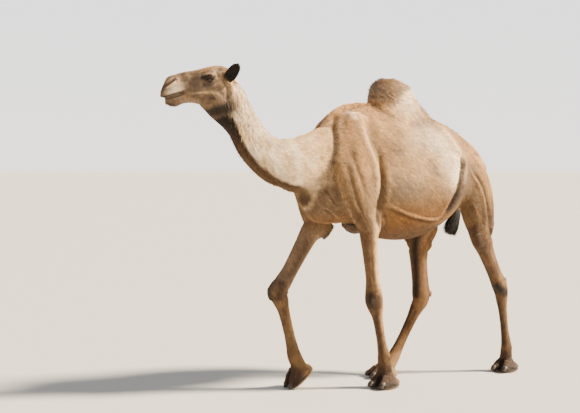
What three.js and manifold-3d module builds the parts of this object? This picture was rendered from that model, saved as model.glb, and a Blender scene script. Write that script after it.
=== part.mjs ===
// A one-humped camel (dromedary) walking, life size, as a still museum model. Millimetres, +Z up. The
// camel heads along -Y and its left side is +X. Places below are measured from the floor point under the
// withers. The finished group is moved so that the middle of its box's underside is the origin.
import * as THREE from "three";
import { mergeVertices } from "three/addons/utils/BufferGeometryUtils.js";
import Module from "manifold-3d";

const wasm = await Module();
wasm.setup();

const { degToRad } = THREE.MathUtils;
const vector = (p) => new THREE.Vector3(...p);

// ---------------------------------------------------------------- driving sizes
const CUT = 0.6; // width of the thin cuts that part the flesh into its nodes
const CLEAR = 0.4; // gap round a nail, an eye or an ear where it sits in the flesh
const HEAD_AT = [-252, -757, 1986]; // joint of skull and neck
const HEAD_YAW = -26; // degrees that the head is turned to the camel's right
const HEAD_PITCH = 17; // degrees that the nose is carried below level
const EYE_RADIUS = 21;
const LEFT_EYE_AT = [81, -109, 16]; // in the head's frame
const HIND_FOOT_SCALE = 0.95; // a hind foot's size beside a forefoot's
const SOLE_FRONT = -94; // the line in a foot's frame that a raised sole turns about
const FLOOR_BLOCK = [1200, 1200, 400]; // the block that stands for the ground under one foot
const CRUMB = 1000; // cubic millimetres, the most that a stray chip of a cut may hold

const SIDES = { left: 1, right: -1 };

const COAT = { color: "#b68d67", roughness: 0.9 };
const DARK_HAIR = { color: "#2a211c", roughness: 0.85 };
const CALLUS = { color: "#5b4a3f", roughness: 0.8 };
const HORN = { color: "#3a322d", roughness: 0.5 };
const EYEBALL = { color: "#15100d", roughness: 0.12 };

// ---------------------------------------------------------------- stations
// A station is [x, y, z, half width, reach up, reach down, turn, roundness up, roundness down].
// On an upright loft, up is forward and down is back. Turn is in degrees about +Z.
// Roundness 2 is an ellipse, less is peaked and more is boxy.

// Trunk, from the root of the tail forward to the breast.
const TRUNK = [
  [0, 1150, 1405, 95, 100, 95],
  [0, 1075, 1420, 140, 168, 160, 0, 1.9, 2],
  [0, 985, 1420, 185, 225, 215, 0, 1.8, 2],
  [0, 885, 1400, 225, 298, 245, 0, 1.7, 2],
  [0, 785, 1370, 272, 368, 310, 0, 1.6, 2],
  [0, 680, 1335, 298, 435, 333, 0, 1.5, 2],
  [0, 560, 1310, 312, 490, 350, 0, 1.45, 2],
  [0, 430, 1300, 312, 520, 357, 0, 1.4, 2],
  [0, 300, 1305, 302, 540, 352, 0, 1.4, 2],
  [0, 170, 1315, 272, 540, 332, 0, 1.4, 1.9],
  [0, 40, 1320, 240, 522, 275, 0, 1.4, 1.8],
  [0, -90, 1315, 210, 500, 240, 0, 1.4, 1.8],
  [0, -190, 1300, 180, 420, 222, 0, 1.5, 1.8],
  [0, -270, 1285, 140, 280, 192, 0, 1.8, 1.9],
  [0, -322, 1300, 90, 150, 145],
];

// Hump, from its crest down into the back.
const HUMP = [
  [0, 320, 1998, 26, 70, 80],
  [0, 335, 1975, 45, 118, 140],
  [0, 350, 1944, 60, 154, 174],
  [0, 365, 1899, 78, 178, 204],
  [0, 375, 1846, 96, 194, 242],
  [0, 385, 1790, 112, 198, 290],
  [0, 395, 1720, 128, 190, 350],
  [0, 400, 1600, 170, 170, 330],
];

// Neck, from inside the chest to the back of the skull. Up is the nape and down is the throat.
const NECK = [
  [0, -60, 1455, 170, 270, 250],
  [0, -190, 1452, 152, 240, 235],
  [-4, -320, 1450, 130, 194, 200, -2],
  [-14, -440, 1452, 110, 163, 170, -4],
  [-48, -562, 1486, 92, 138, 142, -8],
  [-98, -652, 1575, 80, 115, 122, -13],
  [-150, -702, 1690, 72, 100, 112, -18],
  [-194, -728, 1800, 70, 90, 174, -22],
  [-226, -740, 1890, 72, 82, 220, -25],
  [-250, -752, 1965, 66, 64, 184, -26],
];

// The head's own frame has its origin at the joint of skull and neck, with the nose along -Y and the
// crown at +Z. Head from the nape to the upper lip, as deep as the jaw behind the corner of the mouth.
const SKULL = [
  [0, 48, -20, 50, 62, 62],
  [0, 0, -14, 74, 97, 96, 0, 2.1, 1.9],
  [0, -46, -8, 85, 109, 122, 0, 2.2, 1.8],
  [0, -98, -2, 92, 109, 152, 0, 2.4, 1.7],
  [0, -142, 4, 88, 104, 152, 0, 2.4, 1.7],
  [0, -195, 12, 70, 100, 132, 0, 2.2, 1.8],
  [0, -250, 22, 55, 97, 98, 0, 2, 2],
  [0, -300, 32, 51, 87, 46, 0, 2, 3],
  [0, -350, 34, 50, 82, 42, 0, 2.1, 3.2],
  [0, -390, 24, 45, 54, 32, 0, 2.2, 3],
  [0, -416, 12, 33, 32, 20, 0, 2, 2.4],
];

// Lower jaw and lip, from under the cheek forward.
const JAW = [
  [0, -205, -62, 50, 40, 54],
  [0, -250, -48, 47, 40, 44, 0, 3, 2],
  [0, -300, -36, 43, 33, 44, 0, 3.2, 2],
  [0, -350, -32, 43, 32, 52, 0, 3.2, 2],
  [0, -384, -26, 37, 26, 46, 0, 3, 2],
  [0, -404, -20, 24, 16, 30],
];
const ORBIT_REACH = [34, 46, 36]; // half sizes of the bony ring that stands out round each eye
const ORBIT_OUT = 96; // how far out that ring reaches from the middle of the head
const EAR_TURN = 62; // degrees that the ear's opening is turned, to face out and forward

// Left ear, from its root in the skull to its tip. Its breadth lies along the turned side.
const EAR = [
  [56, -18, -14, 20, 12, 10],
  [74, 0, -6, 31, 14, 9],
  [87, 24, 10, 37, 13, 6],
  [95, 50, 30, 34, 11, 5],
  [99, 70, 45, 28, 8, 4],
  [100, 81, 53, 15, 6, 4],
];

// A leg's section is [bone, fraction along it, half width, reach forward, reach back]. Foreleg: bone 0
// runs from the top of the shoulder blade to the shoulder, then come arm, forearm, cannon and pastern.
const FORELEG = [
  [0, 0, 44, 96, 124],
  [0, 0.25, 62, 148, 164],
  [0, 0.5, 75, 172, 178],
  [0, 0.75, 83, 184, 176],
  [1, 0, 86, 176, 164],
  [1, 0.5, 80, 138, 136],
  [2, 0, 66, 100, 122],
  [2, 0.18, 55, 80, 64],
  [2, 0.42, 49, 67, 56],
  [2, 0.7, 46, 58, 55],
  [2, 0.88, 56, 66, 58],
  [3, 0, 60, 74, 60],
  [3, 0.14, 53, 61, 56],
  [3, 0.32, 36, 41, 47],
  [3, 0.65, 32, 36, 43],
  [3, 0.88, 37, 42, 47],
  [4, 0, 44, 49, 53],
  [4, 0.55, 51, 52, 55],
  [4, 1, 62, 62, 64],
];

// Hind leg: bone 0 runs from the croup to the stifle, then come gaskin, cannon and pastern.
const HINDLEG = [
  [0, 0, 60, 105, 100],
  [0, 0.25, 84, 140, 130],
  [0, 0.45, 92, 150, 146],
  [0, 0.66, 88, 138, 142],
  [0, 0.85, 77, 112, 120],
  [1, 0, 65, 92, 100],
  [1, 0.2, 55, 74, 80],
  [1, 0.45, 49, 62, 72],
  [1, 0.7, 47, 57, 76],
  [1, 0.88, 49, 60, 83],
  [2, 0, 48, 60, 70],
  [2, 0.15, 42, 51, 56],
  [2, 0.35, 33, 41, 46],
  [2, 0.65, 31, 37, 42],
  [2, 0.88, 35, 41, 45],
  [3, 0, 41, 47, 50],
  [3, 0.55, 47, 47, 51],
  [3, 1, 54, 54, 58],
];

// The pose: each leg's joints from the top down, the last one in the middle of the foot pad. turn is how
// far the toes point out, spread over the leg below its first joint, and lift is the angle of a sole
// raised about its toe.
const LEGS = {
  left_fore: {
    kind: "fore",
    sections: FORELEG,
    joints: [
      [72, 20, 1745],
      [178, -58, 1330],
      [174, 42, 1065],
      [159, 103, 580],
      [147, 192, 200],
      [147, 204, 62],
    ],
    foot: { at: [147, 208, 0], turn: 14, lift: 0, scale: 1 },
  },
  right_fore: {
    kind: "fore",
    sections: FORELEG,
    joints: [
      [-72, -15, 1745],
      [-178, -110, 1330],
      [-162, -125, 1065],
      [-185, -408, 638],
      [-163, -306, 222],
      [-163, -250, 108],
    ],
    foot: { at: [-164, -214, 0], turn: -14, lift: 40, scale: 0.97 },
  },
  left_hind: {
    kind: "hind",
    sections: HINDLEG,
    joints: [
      [118, 985, 1490],
      [202, 1000, 955],
      [177, 1222, 572],
      [157, 1300, 175],
      [156, 1296, 58],
    ],
    foot: { at: [156, 1300, 0], turn: 14, lift: 0, scale: HIND_FOOT_SCALE },
  },
  right_hind: {
    kind: "hind",
    sections: HINDLEG,
    joints: [
      [-118, 945, 1490],
      [-208, 786, 950],
      [-150, 764, 508],
      [-145, 530, 150],
      [-145, 462, 58],
    ],
    foot: { at: [-145, 428, 0], turn: -14, lift: 0, scale: HIND_FOOT_SCALE },
  },
};

// Where each kind of leg is parted, as [bone, fraction along it], and its lengths' names from the top down.
const LEG_CUTS = {
  fore: { at: [[2, 0.02], [3, 0.1], [4, 0.1]], names: ["shoulder", "forearm", "cannon", "foot"] },
  hind: { at: [[1, 0.02], [2, 0.06], [3, 0.1]], names: ["thigh", "gaskin", "cannon", "foot"] },
};
const LEG_CUT_REACH = [150, 150];
const NAIL_NAMES = ["left", "right"];

// The plates that part the spine: where each one lies, the way it faces, and its half width and half
// height.
const SPINE_CUTS = [
  { at: [0, 440, 1822], facing: [0, 0.2, 0.98], reach: [240, 330] }, // under the hump
  { at: [-76, -618, 1530], facing: [-0.35, -0.5, 0.79], reach: [160, 190] }, // between the neck's lengths
  { at: [-10, -402, 1450], facing: [-0.08, -1, 0.02], reach: [180, 230] }, // in front of the breast
  { at: [-19, 1219, 1350], facing: [-0.15, 0, -1], reach: [30, 26] }, // below the root of the tail
];
// The plate that parts the head from the neck, in the head's frame.
const HEAD_CUT = { at: [0, -45, -112], facing: [0, -0.66, 0.75], reach: [140, 215] };
// The spine's lengths by the height of their tops.
const SPINE_NAMES = ["head", "hump", "neck_upper", "trunk", "neck_lower", "tail"];

// A foot's own frame has the middle of the sole at the origin and the toes along -Y.
// Pad of the foot, from the heel forward. The floor cuts off what is below it.
const PAD = [
  [0, 88, 28, 46, 26, 40, 0, 2, 3],
  [0, 50, 30, 78, 48, 40, 0, 2, 3],
  [0, 2, 30, 90, 56, 40, 0, 2, 3],
  [0, -44, 28, 88, 44, 40, 0, 2, 3],
  [0, -80, 22, 72, 26, 40, 0, 2, 3],
];
// Left toe, from the pastern to its tip.
const TOE_LOFT = [
  [20, 4, 82, 40, 34, 44],
  [30, -34, 58, 43, 32, 40],
  [39, -64, 40, 41, 28, 36],
  [43, -88, 28, 34, 22, 30],
];
// Nail of the left toe, from its root to its edge.
const NAIL = [
  [45, -84, 44, 17, 14, 16],
  [46, -98, 36, 20, 16, 18],
  [47, -112, 24, 17, 12, 18],
];

const TAIL = [
  [0, 1110, 1480, 44, 44, 44],
  [-4, 1180, 1440, 30, 30, 30],
  [-18, 1218, 1360, 22, 22, 22],
  [-34, 1206, 1270, 18, 18, 18],
  [-48, 1130, 1200, 17, 17, 17],
  [-56, 1042, 1150, 20, 20, 20],
];
const TAIL_TUFT = [
  [-56, 1040, 1148, 22, 24, 24],
  [-62, 1006, 1090, 28, 34, 32],
  [-64, 980, 1030, 26, 32, 28],
  [-62, 958, 975, 12, 14, 12],
];

// Callus under the breastbone that the camel rests on, from its rear forward.
const BREAST_PAD = [
  [0, 130, 1045, 44, 30, 30],
  [0, 85, 1040, 66, 30, 42],
  [0, 35, 1046, 66, 30, 42],
  [0, -8, 1060, 42, 26, 28],
];

// ---------------------------------------------------------------- lofts
function spline(rows, columns) {
  const points = rows.map((row) => vector(columns.map((c) => row[c])));
  return new THREE.CatmullRomCurve3(points, false, "catmullrom", 0.5);
}

// A point of the unit superellipse |u|^n + |v|^n = 1 at an angle.
function superellipse(angle, roundness) {
  const shaped = (v) => Math.sign(v) * Math.abs(v) ** (2 / roundness);
  return [shaped(Math.cos(angle)), shaped(Math.sin(angle))];
}

// Rings of superellipses carried along a smooth path through the stations, with rounded ends.
// facing is the direction that every ring faces, or nothing where they face along the path.
// domes are the lengths of the rounded ends, of domeRings rings each, and grow is added to every reach.
function loft(stations, { rings, around, domes, domeRings = 2, facing, grow = 0 }) {
  const rows = stations.map((row) => [...row, ...[0, 2, 2].slice(row.length - 6)]);
  const [path, sizes, shapes] = [[0, 1, 2], [3, 4, 5], [6, 7, 8]].map((columns) => spline(rows, columns));
  const tipShare = domeRings > 1 ? 0.3 : 0.55; // how wide the blunt tip of a dome is
  const slices = [];
  for (let i = domeRings; i > 0; i--) slices.push([0, -i / domeRings, domes[0]]);
  for (let i = 0; i <= rings; i++) slices.push([i / rings, 0, 0]);
  for (let i = 1; i <= domeRings; i++) slices.push([1, i / domeRings, domes[1]]);
  const points = slices.flatMap(([t, lift, dome]) => {
    const shrink = Math.abs(lift) === 1 ? tipShare : Math.cos((lift * Math.PI) / 2);
    const [turn, roundUp, roundDown] = shapes.getPoint(t).toArray();
    const along = facing ? vector(facing) : pathDirection(path, t);
    const sideways = new THREE.Vector3(Math.cos(degToRad(turn)), Math.sin(degToRad(turn)), 0);
    sideways.addScaledVector(along, -sideways.dot(along)).normalize();
    const upward = along.clone().cross(sideways).normalize();
    const centre = path.getPoint(t).addScaledVector(along, Math.sin((lift * Math.PI) / 2) * (dome + grow));
    const [width, up, down] = sizes.getPoint(t).toArray();
    return Array.from({ length: around }, (_, k) => {
      const angle = (2 * Math.PI * k) / around;
      const isUpper = Math.sin(angle) >= 0;
      const [u, v] = superellipse(angle, isUpper ? roundUp : roundDown);
      return centre
        .clone()
        .addScaledVector(sideways, u * (width * shrink + grow))
        .addScaledVector(upward, v * ((isUpper ? up : down) * shrink + grow));
    });
  });
  return skinned(points, around);
}

function pathDirection(path, t) {
  const STEP = 0.001;
  const [before, after] = [Math.max(0, t - STEP), Math.min(1, t + STEP)];
  return path.getPoint(after).sub(path.getPoint(before)).normalize();
}

// Closes a stack of rings into one solid with its faces pointing out.
function skinned(points, around) {
  const ringCount = points.length / around;
  const middleOf = (ring) => {
    const sum = new THREE.Vector3();
    for (const p of points.slice(ring * around, (ring + 1) * around)) sum.add(p);
    return sum.divideScalar(around);
  };
  const all = [...points, middleOf(0), middleOf(ringCount - 1)];
  const [firstPole, lastPole] = [points.length, points.length + 1];
  const lastRing = (ringCount - 1) * around;
  const index = [];
  for (let k = 0; k < around; k++) {
    const next = (k + 1) % around;
    index.push(firstPole, next, k);
    index.push(lastPole, lastRing + k, lastRing + next);
    for (let start = 0; start < lastRing; start += around) {
      const [a, b, c, d] = [start + k, start + next, start + around + k, start + around + next];
      index.push(a, b, c, b, d, c);
    }
  }
  const geometry = new THREE.BufferGeometry();
  geometry.setAttribute("position", new THREE.Float32BufferAttribute(all.flatMap((p) => p.toArray()), 3));
  geometry.setIndex(index);
  return geometry;
}

const mirrored = (stations) => stations.map(([x, ...rest]) => [-x, ...rest]);

// ---------------------------------------------------------------- solids
function solidOf(geometry) {
  const bare = geometry.clone();
  bare.deleteAttribute("normal");
  bare.deleteAttribute("uv");
  const merged = mergeVertices(bare, 1e-3);
  return new wasm.Manifold(
    new wasm.Mesh({
      numProp: 3,
      vertProperties: merged.attributes.position.array,
      triVerts: new Uint32Array(merged.index.array),
    }),
  );
}

function geometryOf(solid) {
  const mesh = solid.getMesh();
  const geometry = new THREE.BufferGeometry();
  geometry.setAttribute("position", new THREE.BufferAttribute(new Float32Array(mesh.vertProperties), 3));
  geometry.setIndex(new THREE.BufferAttribute(new Uint32Array(mesh.triVerts), 1));
  return geometry;
}

const joined = (solids) => solids.reduce((sum, next) => sum.add(next));
const cutBy = (solid, cutters) => cutters.reduce((rest, cutter) => rest.subtract(cutter), solid);

// A thin plate that parts what it crosses. It faces along a direction, and reach is its half width and
// half height.
function plate(at, facing, reach) {
  const upright = new THREE.Vector3(0, 0, 1);
  const turn = new THREE.Quaternion().setFromUnitVectors(upright, vector(facing).normalize());
  const geometry = new THREE.BoxGeometry(2 * reach[0], 2 * reach[1], CUT).applyQuaternion(turn);
  return solidOf(geometry.translate(...at));
}

// The separate lengths of a parted solid, from the highest to the lowest, leaving out crumbs.
function lengthsOf(solid) {
  const top = (piece) => piece.boundingBox().max[2];
  return solid
    .decompose()
    .filter((piece) => piece.volume() > CRUMB)
    .sort((a, b) => top(b) - top(a));
}

// ---------------------------------------------------------------- head
function onHead(geometry) {
  return geometry
    .rotateX(degToRad(HEAD_PITCH))
    .rotateZ(degToRad(HEAD_YAW))
    .translate(...HEAD_AT);
}

// A direction or place in the head's frame, turned into the body's frame.
function headVector(p, isPlace) {
  const turned = vector(p)
    .applyAxisAngle(new THREE.Vector3(1, 0, 0), degToRad(HEAD_PITCH))
    .applyAxisAngle(new THREE.Vector3(0, 0, 1), degToRad(HEAD_YAW));
  return (isPlace ? turned.add(vector(HEAD_AT)) : turned).toArray();
}

function eyeball(side, grow) {
  const [x, y, z] = LEFT_EYE_AT;
  const ball = new THREE.SphereGeometry(EYE_RADIUS + grow, 9, 6).rotateZ((side * Math.PI) / 2);
  return solidOf(onHead(ball.translate(side * x, y, z)));
}

function orbit(side, grow) {
  const [x, y, z] = LEFT_EYE_AT;
  const ring = new THREE.SphereGeometry(1, 8, 5).scale(...ORBIT_REACH.map((reach) => reach + grow));
  return solidOf(onHead(ring.translate(side * (ORBIT_OUT - ORBIT_REACH[0]), y, z)));
}

function ear(side) {
  const stations = (side === SIDES.left ? EAR : mirrored(EAR)).map((row) => [...row, side * EAR_TURN]);
  return solidOf(onHead(loft(stations, { rings: 4, around: 10, domes: [6, 4], domeRings: 1 })));
}

const NOSEWARD = { facing: [0, -1, 0] };

function head(grow) {
  return joined([
    solidOf(onHead(loft(SKULL, { rings: 12, around: 14, domes: [10, 12], grow, ...NOSEWARD }))),
    solidOf(onHead(loft(JAW, { rings: 5, around: 10, domes: [20, 8], grow, ...NOSEWARD }))),
    ...Object.values(SIDES).map((side) => orbit(side, grow)),
  ]);
}

// ---------------------------------------------------------------- legs and feet
const pointOnLeg = ({ joints }, bone, fraction) =>
  bone + 1 < joints.length
    ? vector(joints[bone]).lerp(vector(joints[bone + 1]), fraction).toArray()
    : joints[bone];

function limb(leg, grow = 0) {
  const stations = leg.sections.map(([bone, fraction, ...reaches]) => {
    const turn = bone === 0 ? 0 : leg.foot.turn;
    return [...pointOnLeg(leg, bone, fraction), ...reaches, turn];
  });
  return solidOf(loft(stations, { rings: 15, around: 10, domes: [36, 10], domeRings: 1, grow }));
}

function onFoot(geometry, { at, turn, lift, scale }) {
  return geometry
    .translate(0, -SOLE_FRONT, 0)
    .rotateX(degToRad(lift))
    .translate(0, SOLE_FRONT, 0)
    .scale(scale, scale, scale)
    .rotateZ(degToRad(turn))
    .translate(...at);
}

// All below a sole's level, which is cut off so that the camel stands on flats.
const underground = () => new THREE.BoxGeometry(...FLOOR_BLOCK).translate(0, 0, -FLOOR_BLOCK[2] / 2);

// Cuts a solid off at the foot's own sole and, where the sole is raised, at the floor too.
function cutAtSole(solid, foot) {
  const flat = solid.subtract(solidOf(onFoot(underground(), foot)));
  return foot.lift === 0 ? flat : flat.subtract(solidOf(underground().translate(...foot.at)));
}

function footFlesh(foot) {
  const pad = loft(PAD, { rings: 3, around: 10, domes: [16, 20], domeRings: 1, ...NOSEWARD });
  const toeShape = { rings: 2, around: 6, domes: [8, 20], domeRings: 1 };
  const toes = [TOE_LOFT, mirrored(TOE_LOFT)].map((stations) => loft(stations, toeShape));
  return joined([pad, ...toes].map((piece) => solidOf(onFoot(piece, foot))));
}

function nails(foot, grow) {
  const shape = { rings: 2, around: 6, domes: [6, 5], domeRings: 1, grow };
  const placed = [NAIL, mirrored(NAIL)].map((stations) => solidOf(onFoot(loft(stations, shape), foot)));
  return placed.map((nail) => cutAtSole(nail, foot));
}

// ---------------------------------------------------------------- cuts and small pieces
const spineCuts = () => SPINE_CUTS.map(({ at, facing, reach }) => plate(at, facing, reach));

function headCut() {
  const { at, facing, reach } = HEAD_CUT;
  return plate(headVector(at, true), headVector(facing, false), reach);
}

function neck(grow) {
  return solidOf(loft(NECK, { rings: 12, around: 12, domes: [10, 10], grow }));
}

function tuft(grow) {
  return solidOf(loft(TAIL_TUFT, { rings: 4, around: 8, domes: [4, 20], domeRings: 1, grow }));
}

function breastPad(grow) {
  const shape = { rings: 4, around: 12, domes: [16, 16], domeRings: 1, grow, ...NOSEWARD };
  return solidOf(loft(BREAST_PAD, shape));
}

// ---------------------------------------------------------------- assembly
const camel = new THREE.Group();

function addNode(name, solid, finish) {
  const material = new THREE.MeshStandardMaterial({ metalness: 0, ...finish });
  const mesh = new THREE.Mesh(geometryOf(solid), material);
  mesh.name = name;
  camel.add(mesh);
}

for (const [legName, leg] of Object.entries(LEGS)) {
  const { at, names } = LEG_CUTS[leg.kind];
  const cuts = at.map(([bone, fraction]) => {
    const along = vector(leg.joints[bone + 1]).sub(vector(leg.joints[bone]));
    return plate(pointOnLeg(leg, bone, fraction), along.toArray(), LEG_CUT_REACH);
  });
  const flesh = cutAtSole(joined([limb(leg), footFlesh(leg.foot)]), leg.foot);
  const lengths = lengthsOf(cutBy(flesh, [...cuts, ...nails(leg.foot, CLEAR)]));
  lengths.forEach((length, i) => addNode(`${legName}_${names[i]}`, length, COAT));
  nails(leg.foot, 0).forEach((nail, i) => addNode(`${legName}_nail_${NAIL_NAMES[i]}`, nail, HORN));
}

const spine = joined([
  solidOf(loft(TRUNK, { rings: 13, around: 16, domes: [55, 36], ...NOSEWARD })),
  solidOf(loft(HUMP, { rings: 7, around: 12, domes: [16, 10], facing: [0, 0, -1] })),
  neck(0),
  solidOf(loft(TAIL, { rings: 7, around: 6, domes: [10, 6], domeRings: 1 })),
  head(0),
]);
const spaces = [
  ...Object.values(LEGS).map((leg) => limb(leg, CUT)),
  ...Object.values(SIDES).map((side) => eyeball(side, CLEAR)),
  tuft(CUT),
  breastPad(CUT),
];
const spineLengths = lengthsOf(cutBy(spine, [headCut(), ...spineCuts(), ...spaces]));
spineLengths.forEach((length, i) => addNode(SPINE_NAMES[i], length, COAT));

for (const [sideName, side] of Object.entries(SIDES)) {
  addNode(`${sideName}_eye`, eyeball(side, 0), EYEBALL);
  addNode(`${sideName}_ear`, cutBy(ear(side), [head(CLEAR), neck(CLEAR)]), DARK_HAIR);
}
addNode("tail_tuft", tuft(0), DARK_HAIR);
addNode("breast_pad", breastPad(0), CALLUS);

const middle = new THREE.Box3().setFromObject(camel).getCenter(new THREE.Vector3());
camel.position.set(-middle.x, -middle.y, 0);

export default camel;
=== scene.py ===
"""A one-humped camel (dromedary), life size and walking, as a still museum model.

The flesh is one closed skin, grown from the lofts that carry trunk, hump, neck, head and legs, and worked
over with ridges, grooves and swellings. Over it lies a short coat of thin closed tufts, with longer hair on
hump, nape, throat and tail. Lengths in the tables are millimetres in the body's own frame: the camel heads
along -Y, its left side is +X and the origin is the floor point under the withers. Finished meshes are in
metres in the model's frame.
"""

import logging
import math
from dataclasses import dataclass, field, replace
from enum import Enum
from typing import Optional, Sequence

import bpy
import numpy as np
from mathutils import Matrix, Vector

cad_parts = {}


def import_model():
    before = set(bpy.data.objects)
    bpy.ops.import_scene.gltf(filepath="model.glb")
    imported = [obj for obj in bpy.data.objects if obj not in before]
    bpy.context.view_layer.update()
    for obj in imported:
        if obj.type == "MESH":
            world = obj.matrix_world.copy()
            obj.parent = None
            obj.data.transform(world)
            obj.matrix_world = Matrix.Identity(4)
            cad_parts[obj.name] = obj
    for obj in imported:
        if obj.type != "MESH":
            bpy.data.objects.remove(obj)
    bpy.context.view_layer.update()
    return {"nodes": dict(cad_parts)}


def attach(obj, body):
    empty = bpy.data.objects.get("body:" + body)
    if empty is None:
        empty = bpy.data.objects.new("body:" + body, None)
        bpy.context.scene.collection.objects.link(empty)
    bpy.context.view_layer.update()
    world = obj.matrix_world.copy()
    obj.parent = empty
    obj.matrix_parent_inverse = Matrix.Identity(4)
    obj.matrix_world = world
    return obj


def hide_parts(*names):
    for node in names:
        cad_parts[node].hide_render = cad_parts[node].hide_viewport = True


log = logging.getLogger("camel")

MM = 0.001
MODEL_ORIGIN = np.array([-73.0, 132.9, 0.0])  # the model's origin in the body's frame
COAT_DEPTH = 6.0  # how far the skin lies inside the outline of the coat
SKIN_GRAIN = 12.2  # mesh size of the skin, away from head and feet
SEED = 20
DARKEST = 0.002  # no channel of a tint is darker than this
UP = np.array([0.0, 0.0, 1.0])


# ------------------------------------------------------------ small numeric tools
def smoothstep(low: float, high: float, values: np.ndarray) -> np.ndarray:
    """Rises smoothly from 0 at low to 1 at high (3u^2 - 2u^3), and also falls where low is above high.

    Args:
        low: value at which the result is 0.
        high: value at which the result is 1.
        values: any array.

    Returns:
        An array of the same shape, from 0 to 1.
    """
    u = np.clip((values - low) / (high - low), 0.0, 1.0)
    return u * u * (3.0 - 2.0 * u)


def unit(vectors: np.ndarray) -> np.ndarray:
    """Vectors of length one along the last axis."""
    return vectors / np.maximum(np.linalg.norm(vectors, axis=-1, keepdims=True), 1e-9)


def spline(points: np.ndarray, t: np.ndarray) -> np.ndarray:
    """Uniform Catmull-Rom curve: each span is the cubic whose end slopes are half the chord of the
    neighbours.

    Args:
        points: (n, k) rows that the curve passes through; the ends are carried on in a straight line.
        t: places along it, 0 to 1, with every span equally long.

    Returns:
        (len(t), k) rows.
    """
    padded = np.vstack([2 * points[0] - points[1], points, 2 * points[-1] - points[-2]])
    place = np.clip(t, 0.0, 1.0) * (len(points) - 1)
    span = np.minimum(place.astype(int), len(points) - 2)
    w = (place - span)[:, None]
    a, b, c, d = (padded[span + k] for k in range(4))
    return 0.5 * (2 * b + (c - a) * w + (2 * a - 5 * b + 4 * c - d) * w**2 + (3 * b - a - 3 * c + d) * w**3)


def rotation(axis: str, degrees: float) -> np.ndarray:
    """3 x 3 matrix that turns column vectors about an axis named X, Y or Z."""
    return np.array(Matrix.Rotation(math.radians(degrees), 3, axis))


def to_linear(code: str) -> tuple[float, float, float]:
    """Linear red, green and blue of an sRGB hex colour such as #c8a27c."""
    values = (int(code[i : i + 2], 16) / 255 for i in (1, 3, 5))
    return tuple(v / 12.92 if v <= 0.04045 else ((v + 0.055) / 1.055) ** 2.4 for v in values)


def folded(points: np.ndarray) -> np.ndarray:
    """Points with those on the right of the middle plane carried over to its left."""
    return np.abs(points) * (1, 0, 0) + points * (0, 1, 1)


def to_model(points: np.ndarray) -> np.ndarray:
    """Body frame in millimetres to the model's frame in metres."""
    return (points - MODEL_ORIGIN) * MM


# ------------------------------------------------------------ meshes
def mesh_object(name: str, vertices: np.ndarray, faces: np.ndarray, smooth: bool = True) -> bpy.types.Object:
    """A mesh object at the origin from vertices in metres and faces of one size.

    Args:
        name: name of object and mesh.
        vertices: (n, 3) metres.
        faces: (m, 3) or (m, 4) vertex numbers, turning anticlockwise seen from outside.
        smooth: whether its faces are shaded smooth.

    Returns:
        The object, linked to the scene.
    """
    mesh = bpy.data.meshes.new(name)
    count, corners = faces.shape
    mesh.vertices.add(len(vertices))
    mesh.vertices.foreach_set("co", np.ascontiguousarray(vertices, np.float32).ravel())
    mesh.loops.add(count * corners)
    mesh.loops.foreach_set("vertex_index", np.ascontiguousarray(faces, np.int32).ravel())
    mesh.polygons.add(count)
    mesh.polygons.foreach_set("loop_start", np.arange(0, count * corners, corners, dtype=np.int32))
    mesh.polygons.foreach_set("use_smooth", np.full(count, smooth))
    mesh.update(calc_edges=True)
    mesh.validate()
    obj = bpy.data.objects.new(name, mesh)
    bpy.context.scene.collection.objects.link(obj)
    return obj


def mesh_arrays(mesh: bpy.types.Mesh) -> tuple[np.ndarray, np.ndarray]:
    """Vertices (n, 3) and triangles (m, 3) of a mesh."""
    vertices = np.zeros(len(mesh.vertices) * 3, np.float32)
    mesh.vertices.foreach_get("co", vertices)
    mesh.calc_loop_triangles()
    triangles = np.zeros(len(mesh.loop_triangles) * 3, np.int32)
    mesh.loop_triangles.foreach_get("vertices", triangles)
    return vertices.reshape(-1, 3).astype(float), triangles.reshape(-1, 3)


def set_attribute(mesh: bpy.types.Mesh, name: str, values: np.ndarray) -> None:
    """Stores one number, one vector or one colour for each vertex under a name."""
    kind, key, width = {1: ("FLOAT", "value", 1), 3: ("FLOAT_COLOR", "color", 4)}[
        1 if values.ndim == 1 else values.shape[1]
    ]
    if width == 4:
        values = np.hstack([values, np.ones((len(values), 1))])
    layer = mesh.attributes.new(name, kind, "POINT")
    layer.data.foreach_set(key, np.ascontiguousarray(values, np.float32).ravel())


@dataclass
class Surface:
    """A closed surface as arrays: vertices in body millimetres and quads or triangles, with its own
    normals.
    """

    vertices: np.ndarray
    faces: np.ndarray

    def normals(self) -> np.ndarray:
        """Unit normals at the vertices, each the sum of the cross products of the triangles round it."""
        corners = self.vertices[self.faces]
        across = np.cross(corners[:, 1] - corners[:, 0], corners[:, 2] - corners[:, 0])
        total = np.zeros_like(self.vertices)
        for k in range(3):
            for axis in range(3):
                total[:, axis] += np.bincount(self.faces[:, k], across[:, axis], len(self.vertices))
        return unit(total)

    def flipped(self) -> "Surface":
        """The mirror image across the middle plane, still facing outwards."""
        return Surface(self.vertices * (-1, 1, 1), self.faces[:, ::-1])

    def edges(self) -> np.ndarray:
        """(e, 2) vertex numbers of each edge, both ways round."""
        pairs = np.vstack([self.faces[:, [0, 1]], self.faces[:, [1, 2]], self.faces[:, [2, 0]]])
        return np.unique(np.vstack([pairs, pairs[:, ::-1]]), axis=0)


def joined(surfaces: Sequence[Surface]) -> Surface:
    """Several surfaces as one, each still a shell of its own."""
    offsets = np.cumsum([0] + [len(part.vertices) for part in surfaces])
    faces = np.vstack([part.faces + offset for part, offset in zip(surfaces, offsets)])
    return Surface(np.vstack([part.vertices for part in surfaces]), faces)


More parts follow.
